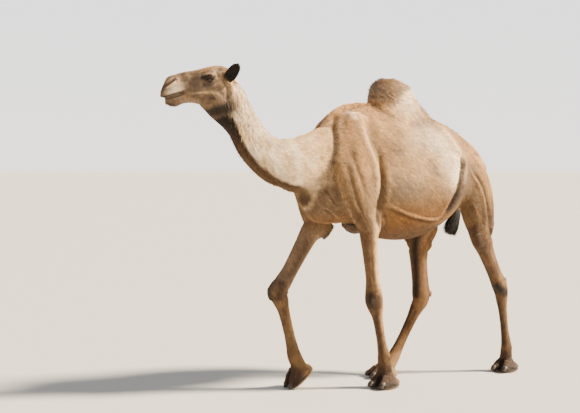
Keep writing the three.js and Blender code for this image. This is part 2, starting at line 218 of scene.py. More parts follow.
def grid_faces(rows: int, columns: int, is_ring: bool = True, is_tube: bool = False) -> np.ndarray:
    """Triangles of a grid of points, row by row.

    Args:
        rows: number of rows.
        columns: points in a row.
        is_ring: whether the last column joins the first.
        is_tube: whether the last row joins the first.

    Returns:
        (n, 3) vertex numbers.
    """
    row, column = np.meshgrid(
        np.arange(rows if is_tube else rows - 1), np.arange(
            columns if is_ring else columns - 1
        ), indexing="ij"
    )
    after, beside = (row + 1) % rows, (column + 1) % columns
    first, second = row * columns + column, row * columns + beside
    third, fourth = after * columns + beside, after * columns + column
    return np.stack([first, second, third, first, third, fourth], axis=-1).reshape(-1, 3)


class Neighbours:
    """Averages over the vertices next to each vertex of a surface."""

    def __init__(self, surface: Surface) -> None:
        """Args: surface: triangles whose edges say what is next to what."""
        edges = surface.edges()
        self.start, self.end = edges[:, 0], edges[:, 1]
        self.count = len(surface.vertices)
        self.degree = np.maximum(np.bincount(self.start, minlength=self.count), 1)

    def mean(self, values: np.ndarray) -> np.ndarray:
        """Mean of values, (n,) or (n, k), over the neighbours of each vertex."""
        if values.ndim == 1:
            return np.bincount(self.start, values[self.end], self.count) / self.degree
        return np.stack([self.mean(values[:, k]) for k in range(values.shape[1])], axis=1)

    def blurred(self, values: np.ndarray, rounds: int) -> np.ndarray:
        """Values after each has been moved halfway to its neighbours' mean, a number of rounds."""
        for _ in range(rounds):
            values = 0.5 * values + 0.5 * self.mean(values)
        return values


# ------------------------------------------------------------ lofts
@dataclass(frozen=True)
class Loft:
    """Superellipse rings carried along a smooth path, with rounded ends.

    A station is (x, y, z, half width, reach up, reach down, turn about Z, roundness up, roundness down). A
    ring's point at angle a is centre + sideways * width * cos(a)^(2/n) + upward * reach * sin(a)^(2/n),
    with signs kept.
    """

    stations: tuple
    facing: Optional[tuple] = None  # direction that every ring faces, or None where they face along the path
    domes: tuple = (10.0, 10.0)  # lengths of the rounded ends
    lie: float = 1.0  # 1 where the hair lies along the path, -1 where it lies against it
    sag: float = 0.0  # how far the lie of the hair turns downwards
    back: float = 0.0  # how far it turns towards the tail

    def rows(self) -> np.ndarray:
        """The stations with the turn and both roundnesses filled in."""
        return np.array([list(row) + [0.0, 2.0, 2.0][len(row) - 6 :] for row in self.stations], float)

    def rings(self, t: np.ndarray) -> tuple[np.ndarray, ...]:
        """Centre, direction, sideways, upward, reaches and roundness of the rings at places t."""
        rows = self.rows()
        centre = spline(rows[:, :3], t)
        step = 1e-3
        if self.facing is None:
            along = unit(
                spline(rows[:, :3], np.minimum(t + step, 1)) - spline(rows[:, :3], np.maximum(t - step, 0))
            )
        else:
            along = np.tile(np.array(self.facing, float), (len(t), 1))
        shapes = spline(rows[:, 6:9], t)
        turn = np.radians(shapes[:, 0])
        sideways = np.stack([np.cos(turn), np.sin(turn), np.zeros_like(turn)], axis=1)
        sideways = unit(sideways - along * (sideways * along).sum(1, keepdims=True))
        return centre, along, sideways, np.cross(along, sideways), spline(rows[:, 3:6], t), shapes[:, 1:]

    def points(
        self, t: np.ndarray, angle: np.ndarray, inset: float = 0.0, lift: Optional[np.ndarray] = None
    ) -> np.ndarray:
        """Points of the surface at places t (m,) and angles (k,), in radians from the left side over the
        top.

        Args:
            t: places along the path.
            angle: angles round each ring.
            inset: how far inside the outline.
            lift: for each place, -1 to 1, how far out along the rounded end it is, or nothing.

        Returns:
            (m, k, 3) millimetres.
        """
        centre, along, sideways, upward, reach, roundness = self.rings(t)
        lift = np.zeros(len(t)) if lift is None else lift
        shrink = np.cos(lift * np.pi / 2)[:, None]
        dome = np.where(lift < 0, self.domes[0], self.domes[1]) - inset
        centre = centre + along * (np.sin(lift * np.pi / 2) * dome)[:, None]
        u, v = np.cos(angle)[None, :], np.sin(angle)[None, :]
        upper = v >= 0
        power = 2 / np.where(upper, roundness[:, :1], roundness[:, 1:])
        across = np.sign(u) * np.abs(u) ** power * (reach[:, :1] * shrink - inset * shrink)
        over = np.sign(v) * np.abs(v) ** power * (
            np.where(upper, reach[:, 1:2], reach[:, 2:]) - inset
        ) * shrink
        return centre[:, None] + across[..., None] * sideways[:, None] + over[..., None] * upward[:, None]

    def surface(self, rings: int = 90, around: int = 72, inset: float = COAT_DEPTH) -> Surface:
        """The closed surface as quads, with a fan of flat quads over each pole."""
        dome = np.linspace(0, 1, 7)[1:-1]
        t = np.concatenate([np.zeros(5), np.linspace(0, 1, rings), np.ones(5)])
        lift = np.concatenate([-dome[::-1], np.zeros(rings), dome])
        grid = self.points(t, np.linspace(0, 2 * np.pi, around, endpoint=False), inset, lift)
        count = len(t)
        poles = np.stack([grid[0].mean(0), grid[-1].mean(0)])
        ring, k = np.meshgrid(np.arange(count - 1), np.arange(around), indexing="ij")
        first, second = ring * around + k, ring * around + (k + 1) % around
        quads = np.stack([first, second, second + around, first + around], axis=-1).reshape(-1, 4)
        k = np.arange(around)
        following = (k + 1) % around
        low = np.stack([np.full(around, count * around), following, k, k], axis=1)
        top = (count - 1) * around
        high = np.stack(
            [np.full(around, count * around + 1), top + k, top + following, top + following], axis=1
        )
        triangles = np.vstack([quads[:, [0, 1, 2]], quads[:, [0, 2, 3]], low[:, :3], high[:, :3]])
        return Surface(np.vstack([grid.reshape(-1, 3), poles]), triangles)


@dataclass(frozen=True)
class Place:
    """A frame of its own, such as the head's or a foot's: a turn, which may hold a scale, and an origin."""

    turn: np.ndarray = field(default_factory=lambda: np.eye(3))
    origin: np.ndarray = field(default_factory=lambda: np.zeros(3))

    def to_body(self, points: np.ndarray) -> np.ndarray:
        """Points of this frame in the body's."""
        return points @ self.turn.T + self.origin

    def from_body(self, points: np.ndarray) -> np.ndarray:
        """Points of the body's frame in this one."""
        return (points - self.origin) @ np.linalg.inv(self.turn).T

    def turned(self, vectors: np.ndarray) -> np.ndarray:
        """Directions of this frame in the body's."""
        return unit(vectors @ self.turn.T)


# ------------------------------------------------------------ body tables
TRUNK = Loft(
    stations=(
        (0, 1150, 1405, 95, 100, 95),
        (0, 1075, 1420, 140, 168, 160, 0, 1.9, 2),
        (0, 985, 1420, 185, 225, 215, 0, 1.8, 2),
        (0, 885, 1400, 225, 298, 245, 0, 1.7, 2),
        (0, 785, 1370, 272, 368, 310, 0, 1.6, 2),
        (0, 680, 1335, 298, 435, 333, 0, 1.5, 2),
        (0, 560, 1310, 312, 490, 350, 0, 1.45, 2),
        (0, 430, 1300, 312, 520, 357, 0, 1.4, 2),
        (0, 300, 1305, 302, 540, 352, 0, 1.4, 2),
        (0, 170, 1315, 272, 540, 332, 0, 1.4, 1.9),
        (0, 40, 1320, 240, 522, 275, 0, 1.4, 1.8),
        (0, -90, 1315, 210, 500, 240, 0, 1.4, 1.8),
        (0, -190, 1300, 180, 420, 222, 0, 1.5, 1.8),
        (0, -270, 1285, 140, 280, 192, 0, 1.8, 1.9),
        (0, -322, 1300, 90, 150, 145),
    ),
    facing=(0, -1, 0),
    domes=(55, 36),
    lie=-1,
    sag=0.75,
)
HUMP = Loft(
    stations=(
        (0, 320, 1998, 26, 70, 80),
        (0, 335, 1975, 45, 118, 140),
        (0, 350, 1944, 60, 154, 174),
        (0, 365, 1899, 78, 178, 204),
        (0, 375, 1846, 96, 194, 242),
        (0, 385, 1790, 112, 198, 290),
        (0, 395, 1720, 128, 190, 350),
        (0, 400, 1600, 170, 170, 330),
    ),
    facing=(0, 0, -1),
    domes=(16, 10),
    back=0.9,
)
NECK = Loft(
    stations=(
        (0, -60, 1455, 170, 270, 250),
        (0, -190, 1452, 152, 240, 235),
        (-4, -320, 1450, 130, 194, 200, -2),
        (-14, -440, 1452, 110, 163, 170, -4),
        (-48, -562, 1486, 92, 138, 142, -8),
        (-98, -652, 1575, 80, 115, 122, -13),
        (-150, -702, 1690, 72, 100, 112, -18),
        (-194, -728, 1800, 70, 90, 174, -22),
        (-226, -740, 1890, 72, 82, 220, -25),
        (-250, -752, 1965, 66, 64, 184, -26),
    ),
    lie=-1,
    sag=0.25,
)
TAIL = Loft(
    stations=(
        (0, 1110, 1480, 44, 44, 44),
        (-4, 1180, 1440, 30, 30, 30),
        (-18, 1218, 1360, 22, 22, 22),
        (-34, 1206, 1270, 18, 18, 18),
        (-48, 1130, 1200, 17, 17, 17),
        (-56, 1042, 1150, 20, 20, 20),
        (-62, 1006, 1090, 18, 18, 18),
    ),
    domes=(10, 6),
)

# The head's frame has its origin at the joint of skull and neck, the nose along -Y and the crown at +Z.
SKULL = Loft(
    stations=(
        (0, 48, -20, 50, 62, 62),
        (0, 0, -14, 74, 97, 96, 0, 2.1, 1.9),
        (0, -46, -8, 85, 109, 122, 0, 2.2, 1.8),
        (0, -98, -2, 92, 109, 152, 0, 2.4, 1.7),
        (0, -142, 4, 88, 104, 152, 0, 2.4, 1.7),
        (0, -195, 12, 70, 100, 132, 0, 2.2, 1.8),
        (0, -250, 22, 55, 97, 98, 0, 2, 2),
        (0, -300, 32, 51, 87, 46, 0, 2, 3),
        (0, -350, 34, 50, 82, 42, 0, 2.1, 3.2),
        (0, -390, 24, 45, 54, 32, 0, 2.2, 3),
        (0, -416, 12, 33, 32, 20, 0, 2, 2.4),
    ),
    facing=(0, -1, 0),
    domes=(10, 12),
    lie=-1,
)
JAW = Loft(
    stations=(
        (0, -205, -62, 50, 40, 54),
        (0, -250, -48, 47, 40, 44, 0, 3, 2),
        (0, -300, -36, 43, 33, 44, 0, 3.2, 2),
        (0, -350, -32, 43, 32, 52, 0, 3.2, 2),
        (0, -384, -26, 37, 26, 46, 0, 3, 2),
        (0, -404, -20, 24, 16, 30),
    ),
    facing=(0, -1, 0),
    domes=(20, 8),
    lie=-1,
)
BODY = Place()
HEAD = Place(
    rotation("Z", -26) @ rotation("X", 17), np.array([-252.0, -757.0, 1986.0])
)  # turned right and nose down



def on_head(left: Surface, side: int) -> Surface:
    """A piece made on the left of the head's frame, on one side (1 left, -1 right) and in the body's frame.
    """
    made = left if side > 0 else left.flipped()
    return Surface(HEAD.to_body(made.vertices), made.faces)


def blended(tint: np.ndarray, layers: Sequence[tuple]) -> np.ndarray:
    """Linear colours with each layer, a colour and its amount from 0 to 1 at each place, laid over in turn.
    """
    for colour, amount in layers:
        tint = tint + (colour - tint) * amount[..., None]
    return tint


def mirrored(stations: Sequence[tuple]) -> tuple:
    """The same stations on the other side of the middle plane."""
    return tuple((-row[0], *row[1:]) for row in stations)


class LegKind(Enum):
    """The two builds of leg."""

    FORE = "fore"
    HIND = "hind"


# A leg's section is (bone, fraction along it, half width, reach forward, reach back).
LEG_SECTIONS = {
    LegKind.FORE: (
        (0, 0, 44, 96, 124),
        (0, 0.25, 62, 148, 164),
        (0, 0.5, 75, 172, 178),
        (0, 0.75, 83, 184, 176),
        (1, 0, 86, 176, 164),
        (1, 0.5, 80, 138, 136),
        (2, 0, 66, 100, 104),
        (2, 0.18, 55, 80, 64),
        (2, 0.42, 49, 67, 56),
        (2, 0.7, 46, 58, 55),
        (2, 0.88, 56, 66, 58),
        (3, 0, 60, 74, 60),
        (3, 0.14, 53, 61, 56),
        (3, 0.32, 36, 41, 47),
        (3, 0.65, 32, 36, 43),
        (3, 0.88, 37, 42, 47),
        (4, 0, 44, 49, 53),
        (4, 0.55, 51, 52, 55),
        (4, 1, 62, 62, 64),
    ),
    LegKind.HIND: (
        (0, 0, 60, 105, 100),
        (0, 0.25, 84, 140, 130),
        (0, 0.45, 92, 150, 146),
        (0, 0.66, 88, 138, 142),
        (0, 0.85, 77, 112, 120),
        (1, 0, 65, 92, 100),
        (1, 0.2, 55, 74, 80),
        (1, 0.45, 49, 62, 72),
        (1, 0.7, 47, 57, 76),
        (1, 0.88, 49, 60, 83),
        (2, 0, 48, 60, 70),
        (2, 0.15, 42, 51, 56),
        (2, 0.35, 33, 41, 46),
        (2, 0.65, 31, 37, 42),
        (2, 0.88, 35, 41, 45),
        (3, 0, 41, 47, 50),
        (3, 0.55, 47, 47, 51),
        (3, 1, 54, 54, 58),
    ),
}

# In a foot's own frame the middle of the sole is the origin and the toes lie along -Y.
FOOT_PAD = Loft(
    stations=(
        (0, 88, 28, 46, 26, 40, 0, 2, 3),
        (0, 50, 30, 78, 48, 40, 0, 2, 3),
        (0, 2, 30, 90, 56, 40, 0, 2, 3),
        (0, -44, 28, 88, 44, 40, 0, 2, 3),
        (0, -80, 22, 72, 26, 40, 0, 2, 3),
    ),
    facing=(0, -1, 0),
    domes=(16, 20),
)
LEFT_TOE = (
    (20, 4, 82, 40, 34, 44), (30, -34, 58, 43, 32, 40), (39, -64, 40, 41, 28, 36), (43, -88, 28, 34, 22, 30)
)
LEFT_NAIL = ((45, -84, 44, 17, 14, 16), (46, -98, 36, 20, 16, 18), (47, -112, 24, 17, 12, 18))
TOES = tuple(Loft(stations, domes=(8, 20)) for stations in (LEFT_TOE, mirrored(LEFT_TOE)))
SOLE_FRONT = -94.0  # the line in a foot's frame that a raised sole turns about
SOLE_LEVEL = 1.5  # height of the skin's sole over the plane that it stands on


@dataclass(frozen=True)
class Leg:
    """One leg: its joints from the top down and the place and turn of its foot."""

    name: str
    kind: LegKind
    joints: tuple
    at: tuple
    turn: float  # degrees that the toes point out
    lift: float = 0.0  # degrees that the sole is raised about its toe
    scale: float = 1.0

    @property
    def side(self) -> int:
        """1 on the left and -1 on the right."""
        return 1 if self.name.startswith("left") else -1

    @property
    def part_names(self) -> tuple:
        """Names of the limb and of the pad and toes of its foot."""
        return (self.name, *(f"{self.name}_foot{k}" for k in range(3)))

    def limb(self) -> Loft:
        """The loft of the whole limb, each station on its bone."""
        joints = np.array(self.joints, float)
        rows = []
        for bone, fraction, *reaches in LEG_SECTIONS[self.kind]:
            place = joints[bone] + (joints[min(bone + 1, len(joints) - 1)] - joints[bone]) * fraction
            rows.append((*place, *reaches, self.turn if bone else 0.0))
        return Loft(tuple(rows), domes=(36, 10), back=0.35)

    @property
    def foot_place(self) -> Place:
        """The foot's own frame: tipped about the line under its toes, scaled, turned out and set down."""
        pivot = np.array([0.0, SOLE_FRONT, 0.0])
        tip = rotation("X", self.lift)
        turn = rotation("Z", self.turn) * self.scale
        return Place(turn @ tip, np.array(self.at, float) + turn @ (pivot - tip @ pivot))

    def on_sole(self, made: Surface) -> Surface:
        """A foot's piece in the body's frame, with all that would be under sole or floor pressed flat."""
        flat = made.vertices.copy()
        flat[:, 2] = np.maximum(flat[:, 2], SOLE_LEVEL)
        placed = self.foot_place.to_body(flat)
        placed[:, 2] = np.maximum(placed[:, 2], SOLE_LEVEL)
        return Surface(placed, made.faces)


LEGS = (
    Leg(
        "left_fore",
        LegKind.FORE,
        ((72, 20, 1745), (178, -58, 1330), (174, 42, 1065), (159, 103, 580), (147, 192, 200), (147, 204, 62)),
        at=(147, 208, 0),
        turn=14,
    ),
    Leg(
        "right_fore",
        LegKind.FORE,
        (
            (-72, -15, 1745), (-178, -110, 1330), (-162, -125, 1065), (-185, -408, 638), (-163, -306, 222),
            (-163, -250, 108)
        ),
        at=(-164, -214, 0),
        turn=-14,
        lift=40,
        scale=0.97,
    ),
    Leg(
        "left_hind",
        LegKind.HIND,
        ((118, 985, 1490), (202, 1000, 955), (177, 1222, 572), (157, 1300, 175), (156, 1296, 58)),
        at=(156, 1300, 0),
        turn=14,
        scale=0.95,
    ),
    Leg(
        "right_hind",
        LegKind.HIND,
        ((-118, 945, 1490), (-208, 786, 950), (-150, 764, 508), (-145, 530, 150), (-145, 462, 58)),
        at=(-145, 428, 0),
        turn=-14,
        scale=0.95,
    ),
)


# ------------------------------------------------------------ growing the skin
@dataclass(frozen=True)
class Lens:
    """A smooth stretch of space about a centre, so that an even mesh comes out finer there.

    A point at distance r moves out to r + (power - 1) * reach * tanh(r / reach), or, where the stretch is
    local, to r * (1 + (power - 1) * exp(-(r / reach)^2)).
    """

    centre: tuple
    power: float
    reach: float
    is_local: bool = False

    def stretched(self, r: np.ndarray) -> np.ndarray:
        """Distances after the stretch."""
        if self.is_local:
            return r * (1 + (self.power - 1) * np.exp(-((r / self.reach) ** 2)))
        return r + (self.power - 1) * self.reach * np.tanh(r / self.reach)

    def apply(self, points: np.ndarray, back: bool = False) -> np.ndarray:
        """Points moved out by the stretch, or back again."""
        away = points - self.centre
        r = np.linalg.norm(away, axis=1)
        table = np.linspace(0, 6000, 60001)
        moved = np.interp(r, self.stretched(table), table) if back else self.stretched(r)
        return self.centre + away * (moved / np.maximum(r, 1e-9))[:, None]


def lenses() -> list[Lens]:
    """The lens over the head and one over each foot."""
    head = tuple(HEAD.to_body(np.array([0.0, -190.0, 0.0])))
    feet = [
        Lens(tuple(leg.foot_place.to_body(np.array([0.0, -30.0, 30.0]))), 1.7, 150.0, True)
        for leg in LEGS
    ]
    return [*feet, Lens(head, 2.3, 270.0)]


def voxel_skin(pieces: Sequence[Surface], grain: float) -> Surface:
    """The outer surface of overlapping closed pieces as one even mesh, finer under the lenses.

    Args:
        pieces: closed surfaces in body millimetres.
        grain: mesh size away from the lenses.

    Returns:
        One closed surface of triangles.
    """
    whole = joined(pieces)
    vertices = whole.vertices
    for lens in lenses():
        vertices = lens.apply(vertices)
    source = mesh_object("skin_source", vertices * MM, whole.faces)
    modifier = source.modifiers.new("voxels", "REMESH")
    modifier.mode = "VOXEL"
    modifier.voxel_size = grain * MM
    modifier.adaptivity = 0.0
    evaluated = source.evaluated_get(bpy.context.evaluated_depsgraph_get())
    vertices, triangles = mesh_arrays(evaluated.to_mesh())
    evaluated.to_mesh_clear()
    bpy.data.objects.remove(source)
    vertices = vertices / MM
    for lens in reversed(lenses()):
        vertices = lens.apply(vertices, back=True)
    return largest_shell(Surface(vertices, triangles))


def largest_shell(surface: Surface) -> Surface:
    """The connected shell with the most vertices, found by handing the lowest number on to neighbours."""
    edges = surface.edges()
    label = np.arange(len(surface.vertices))
    while True:
        lowest = label.copy()
        np.minimum.at(lowest, edges[:, 0], label[edges[:, 1]])
        lowest = lowest[lowest]
        if (lowest == label).all():
            break
        label = lowest
    keep = label == np.bincount(label).argmax()
    number = np.cumsum(keep) - 1
    return Surface(surface.vertices[keep], number[surface.faces[keep[surface.faces[:, 0]]]])


@dataclass(frozen=True)
class Part:
    """A loft with the frame that it is measured in."""

    name: str
    loft: Loft
    place: Place = BODY
    side: int = 1  # -1 where it is the mirror image of a part on the left


def body_parts() -> list[Part]:
    """Every loft that the flesh is grown from."""
    parts = [Part("trunk", TRUNK), Part("hump", HUMP), Part("neck", NECK), Part("tail", TAIL)]
    parts += [Part("skull", SKULL, HEAD), Part("jaw", JAW, HEAD)]
    for leg in LEGS:
        parts.append(Part(leg.name, leg.limb(), BODY, leg.side))
        parts += [
            Part(f"{leg.name}_foot{k}", loft, leg.foot_place, leg.side)
            for k, loft in enumerate((FOOT_PAD, *TOES))
        ]
    return parts


@dataclass
class Located:
    """Where points lie on the parts: number of the part, place along it, angle round it, and the hair's
    direction.
    """

    part: np.ndarray
    t: np.ndarray
    angle: np.ndarray
    lie: np.ndarray


class PartMap:
    """Finds the part that each point of the skin belongs to.

    A point is compared with the rings of every loft: its score is the distance off the ring's plane over
    the ring's size, and the difference of its share of the ring's reach from 1, both squared and added. The
    lowest score wins, and the hair's direction is the mean of all parts' directions with weights that fall
    off with the score.
    """

    RINGS = 56
    SOFTNESS = 0.05

    def __init__(self, parts: Sequence[Part]) -> None:
        """Args: parts: the lofts to compare with."""
        self.parts = list(parts)

    def one(self, part: Part, points: np.ndarray) -> tuple[np.ndarray, ...]:
        """Score, place, angle and hair direction of points beside one part."""
        t = np.linspace(0, 1, self.RINGS)
        centre, along, sideways, upward, reach, _ = part.loft.rings(t)
        own = part.place.from_body(points)
        across, over, off = (
            own @ axis.T - (centre * axis).sum(1)[None, :] for axis in (sideways, upward, along)
        )
        share = np.hypot(across / reach[:, 0], over / np.where(over > 0, reach[:, 1], reach[:, 2]))
        score = (off / reach.mean(1)) ** 2 + 0.6 * (share - 1) ** 2
        best = score.argmin(1)
        row = np.arange(len(points))
        steps = np.gradient(spline(part.loft.rows()[:, :3], t), axis=0)
        path = unit(steps) * part.loft.lie
        between = np.clip(off[row, best] / np.linalg.norm(steps, axis=1)[best], -0.5, 0.5) / (self.RINGS - 1)
        lie = part.place.turned(path[best])
        angle = np.arctan2(over[row, best], across[row, best])
        lie = lie - UP * (
            part.loft.sag * np.abs(np.cos(angle))
        )[:, None] + np.array([0.0, part.loft.back, 0.0])
        return score[row, best], np.clip(t[best] + between, 0, 1), angle, unit(lie)

    def locate(self, points: np.ndarray) -> Located:
        """Part, place, angle and hair direction of each point."""
        found = [self.one(part, points) for part in self.parts]
        scores = np.stack([f[0] for f in found])
        winner = scores.argmin(0)
        row = np.arange(len(points))
        weight = np.exp(-(scores - scores.min(0)) / self.SOFTNESS)
        lie = unit(sum(w[:, None] * f[3] for w, f in zip(weight, found)))
        t, angle = (np.stack([f[k] for f in found])[winner, row] for k in (1, 2))
        return Located(winner, t, angle, lie)


# ------------------------------------------------------------ sculpting
@dataclass(frozen=True)
class Stroke:
    """A soft line on the skin, such as a fold, a tendon or the edge of a marking.

    Its strength at a vertex is exp(-(d / width)^2), where d is the distance to the line with most of its
    part along the vertex's normal left out, and it fades towards both ends.
    """

    line: tuple
    width: float
    height: float = 0.0  # how far it stands out of the skin, or below it where negative
    place: Place = BODY
    both: bool = True  # whether the other side of the middle plane has it too
    fade: float = 0.2  # share of the line at each end over which it fades
    depth: float = 70.0  # how far off the line, along the normal, it still works

    SAMPLES = 32

    def strength(self, surface: Surface, normals: np.ndarray) -> np.ndarray:
        """Strength at each vertex of a surface, from 0 to 1."""
        total = np.zeros(len(surface.vertices))
        line = np.array(self.line, float)
        for flip in (1, -1) if self.both else (1,):
            path = self.place.to_body(spline(line * (flip, 1, 1), np.linspace(0, 1, self.SAMPLES)))
            margin = 3 * self.width + 30
            low, high = path.min(0) - margin, path.max(0) + margin
            inside = ((surface.vertices > low) & (surface.vertices < high)).all(1)
            index = np.flatnonzero(inside)
            if len(index) == 0:
                continue
            away = surface.vertices[index, None] - path[None]
            off = (away * normals[index, None]).sum(2)
            squared = (away**2).sum(2) - 0.85 * off**2 + np.where(np.abs(off) > self.depth, 1e6, 0.0)
            nearest = squared.argmin(1)
            share = nearest / (self.SAMPLES - 1)
            ends = np.minimum(share, 1 - share) / max(self.fade, 1e-3)
            value = np.exp(-squared.min(1) / self.width**2) * np.clip(ends + 0.15, 0, 1)
            total[index] = np.maximum(total[index], value)
        return total


def on_limb(leg: Leg, places: Sequence[tuple], out: float = 0.0) -> tuple:
    """Points on a leg from (station, degrees) pairs; 0 degrees is the outer side, 90 the front and -90 the
    back.

    Args:
        leg: the leg.
        places: station number, which may lie between two, and angle.
        out: how far outside the limb's surface.

    Returns:
        Rows of x, y, z.
    """
    loft = leg.limb()
    count = len(loft.stations) - 1
    rows = []
    for station, degrees in places:
        angle = math.radians(degrees if leg.side > 0 else 180 - degrees)
        rows.append(loft.points(np.array([station / count]), np.array([angle]), -out)[0, 0])
    return tuple(map(tuple, rows))


def shifted(line: Sequence[tuple], by: tuple) -> tuple:
    """A line moved by a vector."""
    return tuple((x + by[0], y + by[1], z + by[2]) for x, y, z in line)


BELLY_FOLD = (
    (239, 138, 1197), (250, 229, 1158), (254, 310, 1130), (253, 396, 1109), (245, 490, 1093),
    (236, 568, 1098), (248, 610, 1150)
)
SHOULDER_FRONT = (
    (20, -130, 1771), (79, -165, 1666), (134, -199, 1552), (150, -230, 1457), (146, -263, 1351),
    (128, -285, 1260)
)
BLADE_RIDGE = (
    (70, 20, 1800), (138, 5, 1700), (176, 8, 1604), (206, 40, 1509), (230, 55, 1426), (240, 50, 1300),
    (245, 40, 1180)
)
BEHIND_ARM = (
    (200, 100, 1560), (236, 100, 1450), (246, 96, 1350), (250, 90, 1240), (246, 80, 1130), (232, 72, 1060)
)
FLANK_GROOVE = (
    (236, 796, 1530), (258, 765, 1450), (280, 729, 1370), (284, 696, 1290), (276, 658, 1215), (250, 620, 1130)
)
HIP_RIDGE = ((72, 642, 1750), (115, 712, 1683), (187, 736, 1601), (220, 772, 1520), (242, 800, 1447))
HAM_LINE = ((222, 869, 1447), (228, 944, 1332), (247, 976, 1237), (261, 992, 1129), (263, 991, 1034))
NECK_UNDER = (
    (-150, -800, 1780), (-127, -789, 1697), (-73, -744, 1549), (-21, -653, 1414), (28, -514, 1327),
    (54, -419, 1308), (90, -320, 1290)
)

BODY_FOLDS = (
    Stroke(BELLY_FOLD, 9, 8),
    Stroke(shifted(BELLY_FOLD, (-4, 6, -20)), 14, -6),
    Stroke(SHOULDER_FRONT, 20, -9),
    Stroke(shifted(SHOULDER_FRONT, (0, 42, 0)), 30, 8),
    Stroke(BLADE_RIDGE, 26, 10),
    Stroke(BEHIND_ARM, 20, -20),
    Stroke(((183, -110, 1571), (234, -111, 1445), (253, -85, 1351), (257, -56, 1257)), 20, -7, both=False),
    Stroke(((202, -172, 1476), (238, -161, 1352), (247, -120, 1239), (240, -70, 1150)), 17, -7, both=False),
    Stroke(((214, -140, 1480), (246, -125, 1352), (252, -85, 1239)), 16, 5, both=False),
    Stroke(((102, -284, 1195), (117, -232, 1163), (100, -170, 1126), (85, -120, 1104)), 9, 8),
    Stroke(((108, -275, 1175), (122, -225, 1140), (104, -160, 1104)), 12, -7),
    *(
        Stroke(
            (
                (120 + 8 * k, -300 + 16 * k, 1310 - 18 * k), (150, -262 + 18 * k, 1268 - 20 * k),
                (150, -235 + 16 * k, 1210 - 16 * k)
            ),
            6, -5
        )
        for k in range(4)
    ),
    Stroke(FLANK_GROOVE, 20, -26),
    Stroke(shifted(FLANK_GROOVE, (0, -42, 0)), 30, 9),
    Stroke(HIP_RIDGE, 26, 9),
    Stroke(HAM_LINE, 13, 6, both=False),
    Stroke(shifted(HAM_LINE, (-6, 30, 0)), 15, -9, both=False),
    Stroke(((236, 900, 1190), (246, 935, 1120), (256, 968, 1050)), 7, 5, both=False),
    Stroke(((238, 915, 1165), (248, 950, 1095), (257, 978, 1032)), 6, -5, both=False),
    Stroke(
        ((0, 640, 1760), (0, 780, 1700), (0, 900, 1650), (0, 1010, 1590), (0, 1100, 1520)), 22, 7, both=False
    ),
    Stroke(((96, 960, 1540), (120, 1040, 1450), (110, 1090, 1350)), 30, -12),
    Stroke(NECK_UNDER, 16, -6),
    Stroke(
        ((-185, -690, 1900), (-120, -660, 1740), (-60, -620, 1640), (0, -520, 1560), (40, -400, 1530)), 40, 4
    ),
    Stroke(((0, -60, 1770), (0, 20, 1832), (0, 110, 1845)), 16, 6, both=False),
    Stroke(((0, -250, 1180), (0, -160, 1120), (0, -60, 1090)), 26, 8, both=False),
)


TOE_CLEFT = ((0, -118, 16), (0, -96, 44), (0, -62, 74), (0, -24, 96))  # in a foot's own frame


def foot_folds(leg: Leg) -> list[Stroke]:
    """The cleft between the toes, the swell over each, the edge of the sole and the wrinkles over the heel.
    """
    shapes = (
        (TOE_CLEFT, 8, -13, False),
        (((38, -104, 52), (36, -76, 70), (30, -44, 88)), 18, 5, True),
        (
            ((74, -60, 22), (92, -20, 24), (94, 20, 24), (80, 70, 26), (40, 108, 28), (0, 118, 28)), 7, -5,
            True
        ),
        (((76, -58, 40), (94, -10, 42), (86, 52, 44), (50, 96, 44)), 10, 3, True),
        (((60, -88, 34), (70, -70, 48), (66, -48, 70)), 6, -4, True),
        (((14, -104, 46), (12, -84, 66), (12, -60, 84)), 5, -3, True),
    )
    return [
        Stroke(line, width, height, leg.foot_place, both, 0.15, 40.0)
        for line, width, height, both in shapes
    ]


def leg_folds(leg: Leg) -> list[Stroke]:
    """Calluses, tendons and wrinkles of one leg."""

    def stroke(places: Sequence[tuple], width: float, height: float, fade: float = 0.2) -> Stroke:
        """A stroke through places on this leg."""
        return Stroke(on_limb(leg, places), width, height, both=False, fade=fade, depth=40.0)

    if leg.kind is LegKind.FORE:
        wrinkles = [
            stroke([(10.0 + 0.22 * k, 15), (10.0 + 0.2 * k, 50), (10.05 + 0.22 * k, 85)], 5, -4)
            for k in range(4)
        ]
        return [
            stroke([(5.9, -92), (6.5, -90)], 24, 17, 0.0),
            stroke([(6.9, -60), (7.6, -50), (8.4, -48), (9.4, -45)], 9, -5),
            stroke([(7.2, 25), (8.2, 35), (9.4, 42)], 12, -3),
            stroke([(9.0, -10), (10.0, -12), (10.8, -15)], 7, 4),
            stroke([(10.9, 70), (11.6, 74)], 22, 6, 0.0),
            stroke([(11.2, -90), (11.5, -90)], 16, 9, 0.0),
            stroke([(12.6, -35), (13.6, -35), (15.0, -38)], 6, -4),
            stroke([(12.6, 215), (13.6, 215), (15.0, 218)], 6, -4),
            stroke([(15.6, 0), (16.2, -10)], 14, 5, 0.0),
            *wrinkles,
        ]
    return [
        stroke([(4.7, 60), (5.4, 72)], 26, 8, 0.0),
        stroke([(5.9, 50), (5.95, 72), (5.8, 100)], 9, -6),
        stroke([(4.2, -28), (5.0, -34)], 14, 7, 0.0),
        stroke([(6.2, -50), (7.4, -48), (8.6, -50), (9.2, -52)], 11, -9),
        stroke([(6.2, 230), (7.4, 228), (8.6, 230), (9.2, 232)], 11, -9),
        stroke([(8.9, -90), (9.6, -90)], 16, 13, 0.0),
        stroke([(3.6, -85), (4.8, -88), (6.2, -88)], 46, 24 if leg.side < 0 else 8),
        stroke([(9.8, 12), (10.5, 10)], 14, 5, 0.0),
        stroke([(11.4, -35), (12.6, -35), (13.8, -38)], 6, -4),
        stroke([(11.4, 215), (12.6, 215), (13.8, 218)], 6, -4),
        stroke([(14.6, 0), (15.2, -10)], 12, 4, 0.0),
    ]


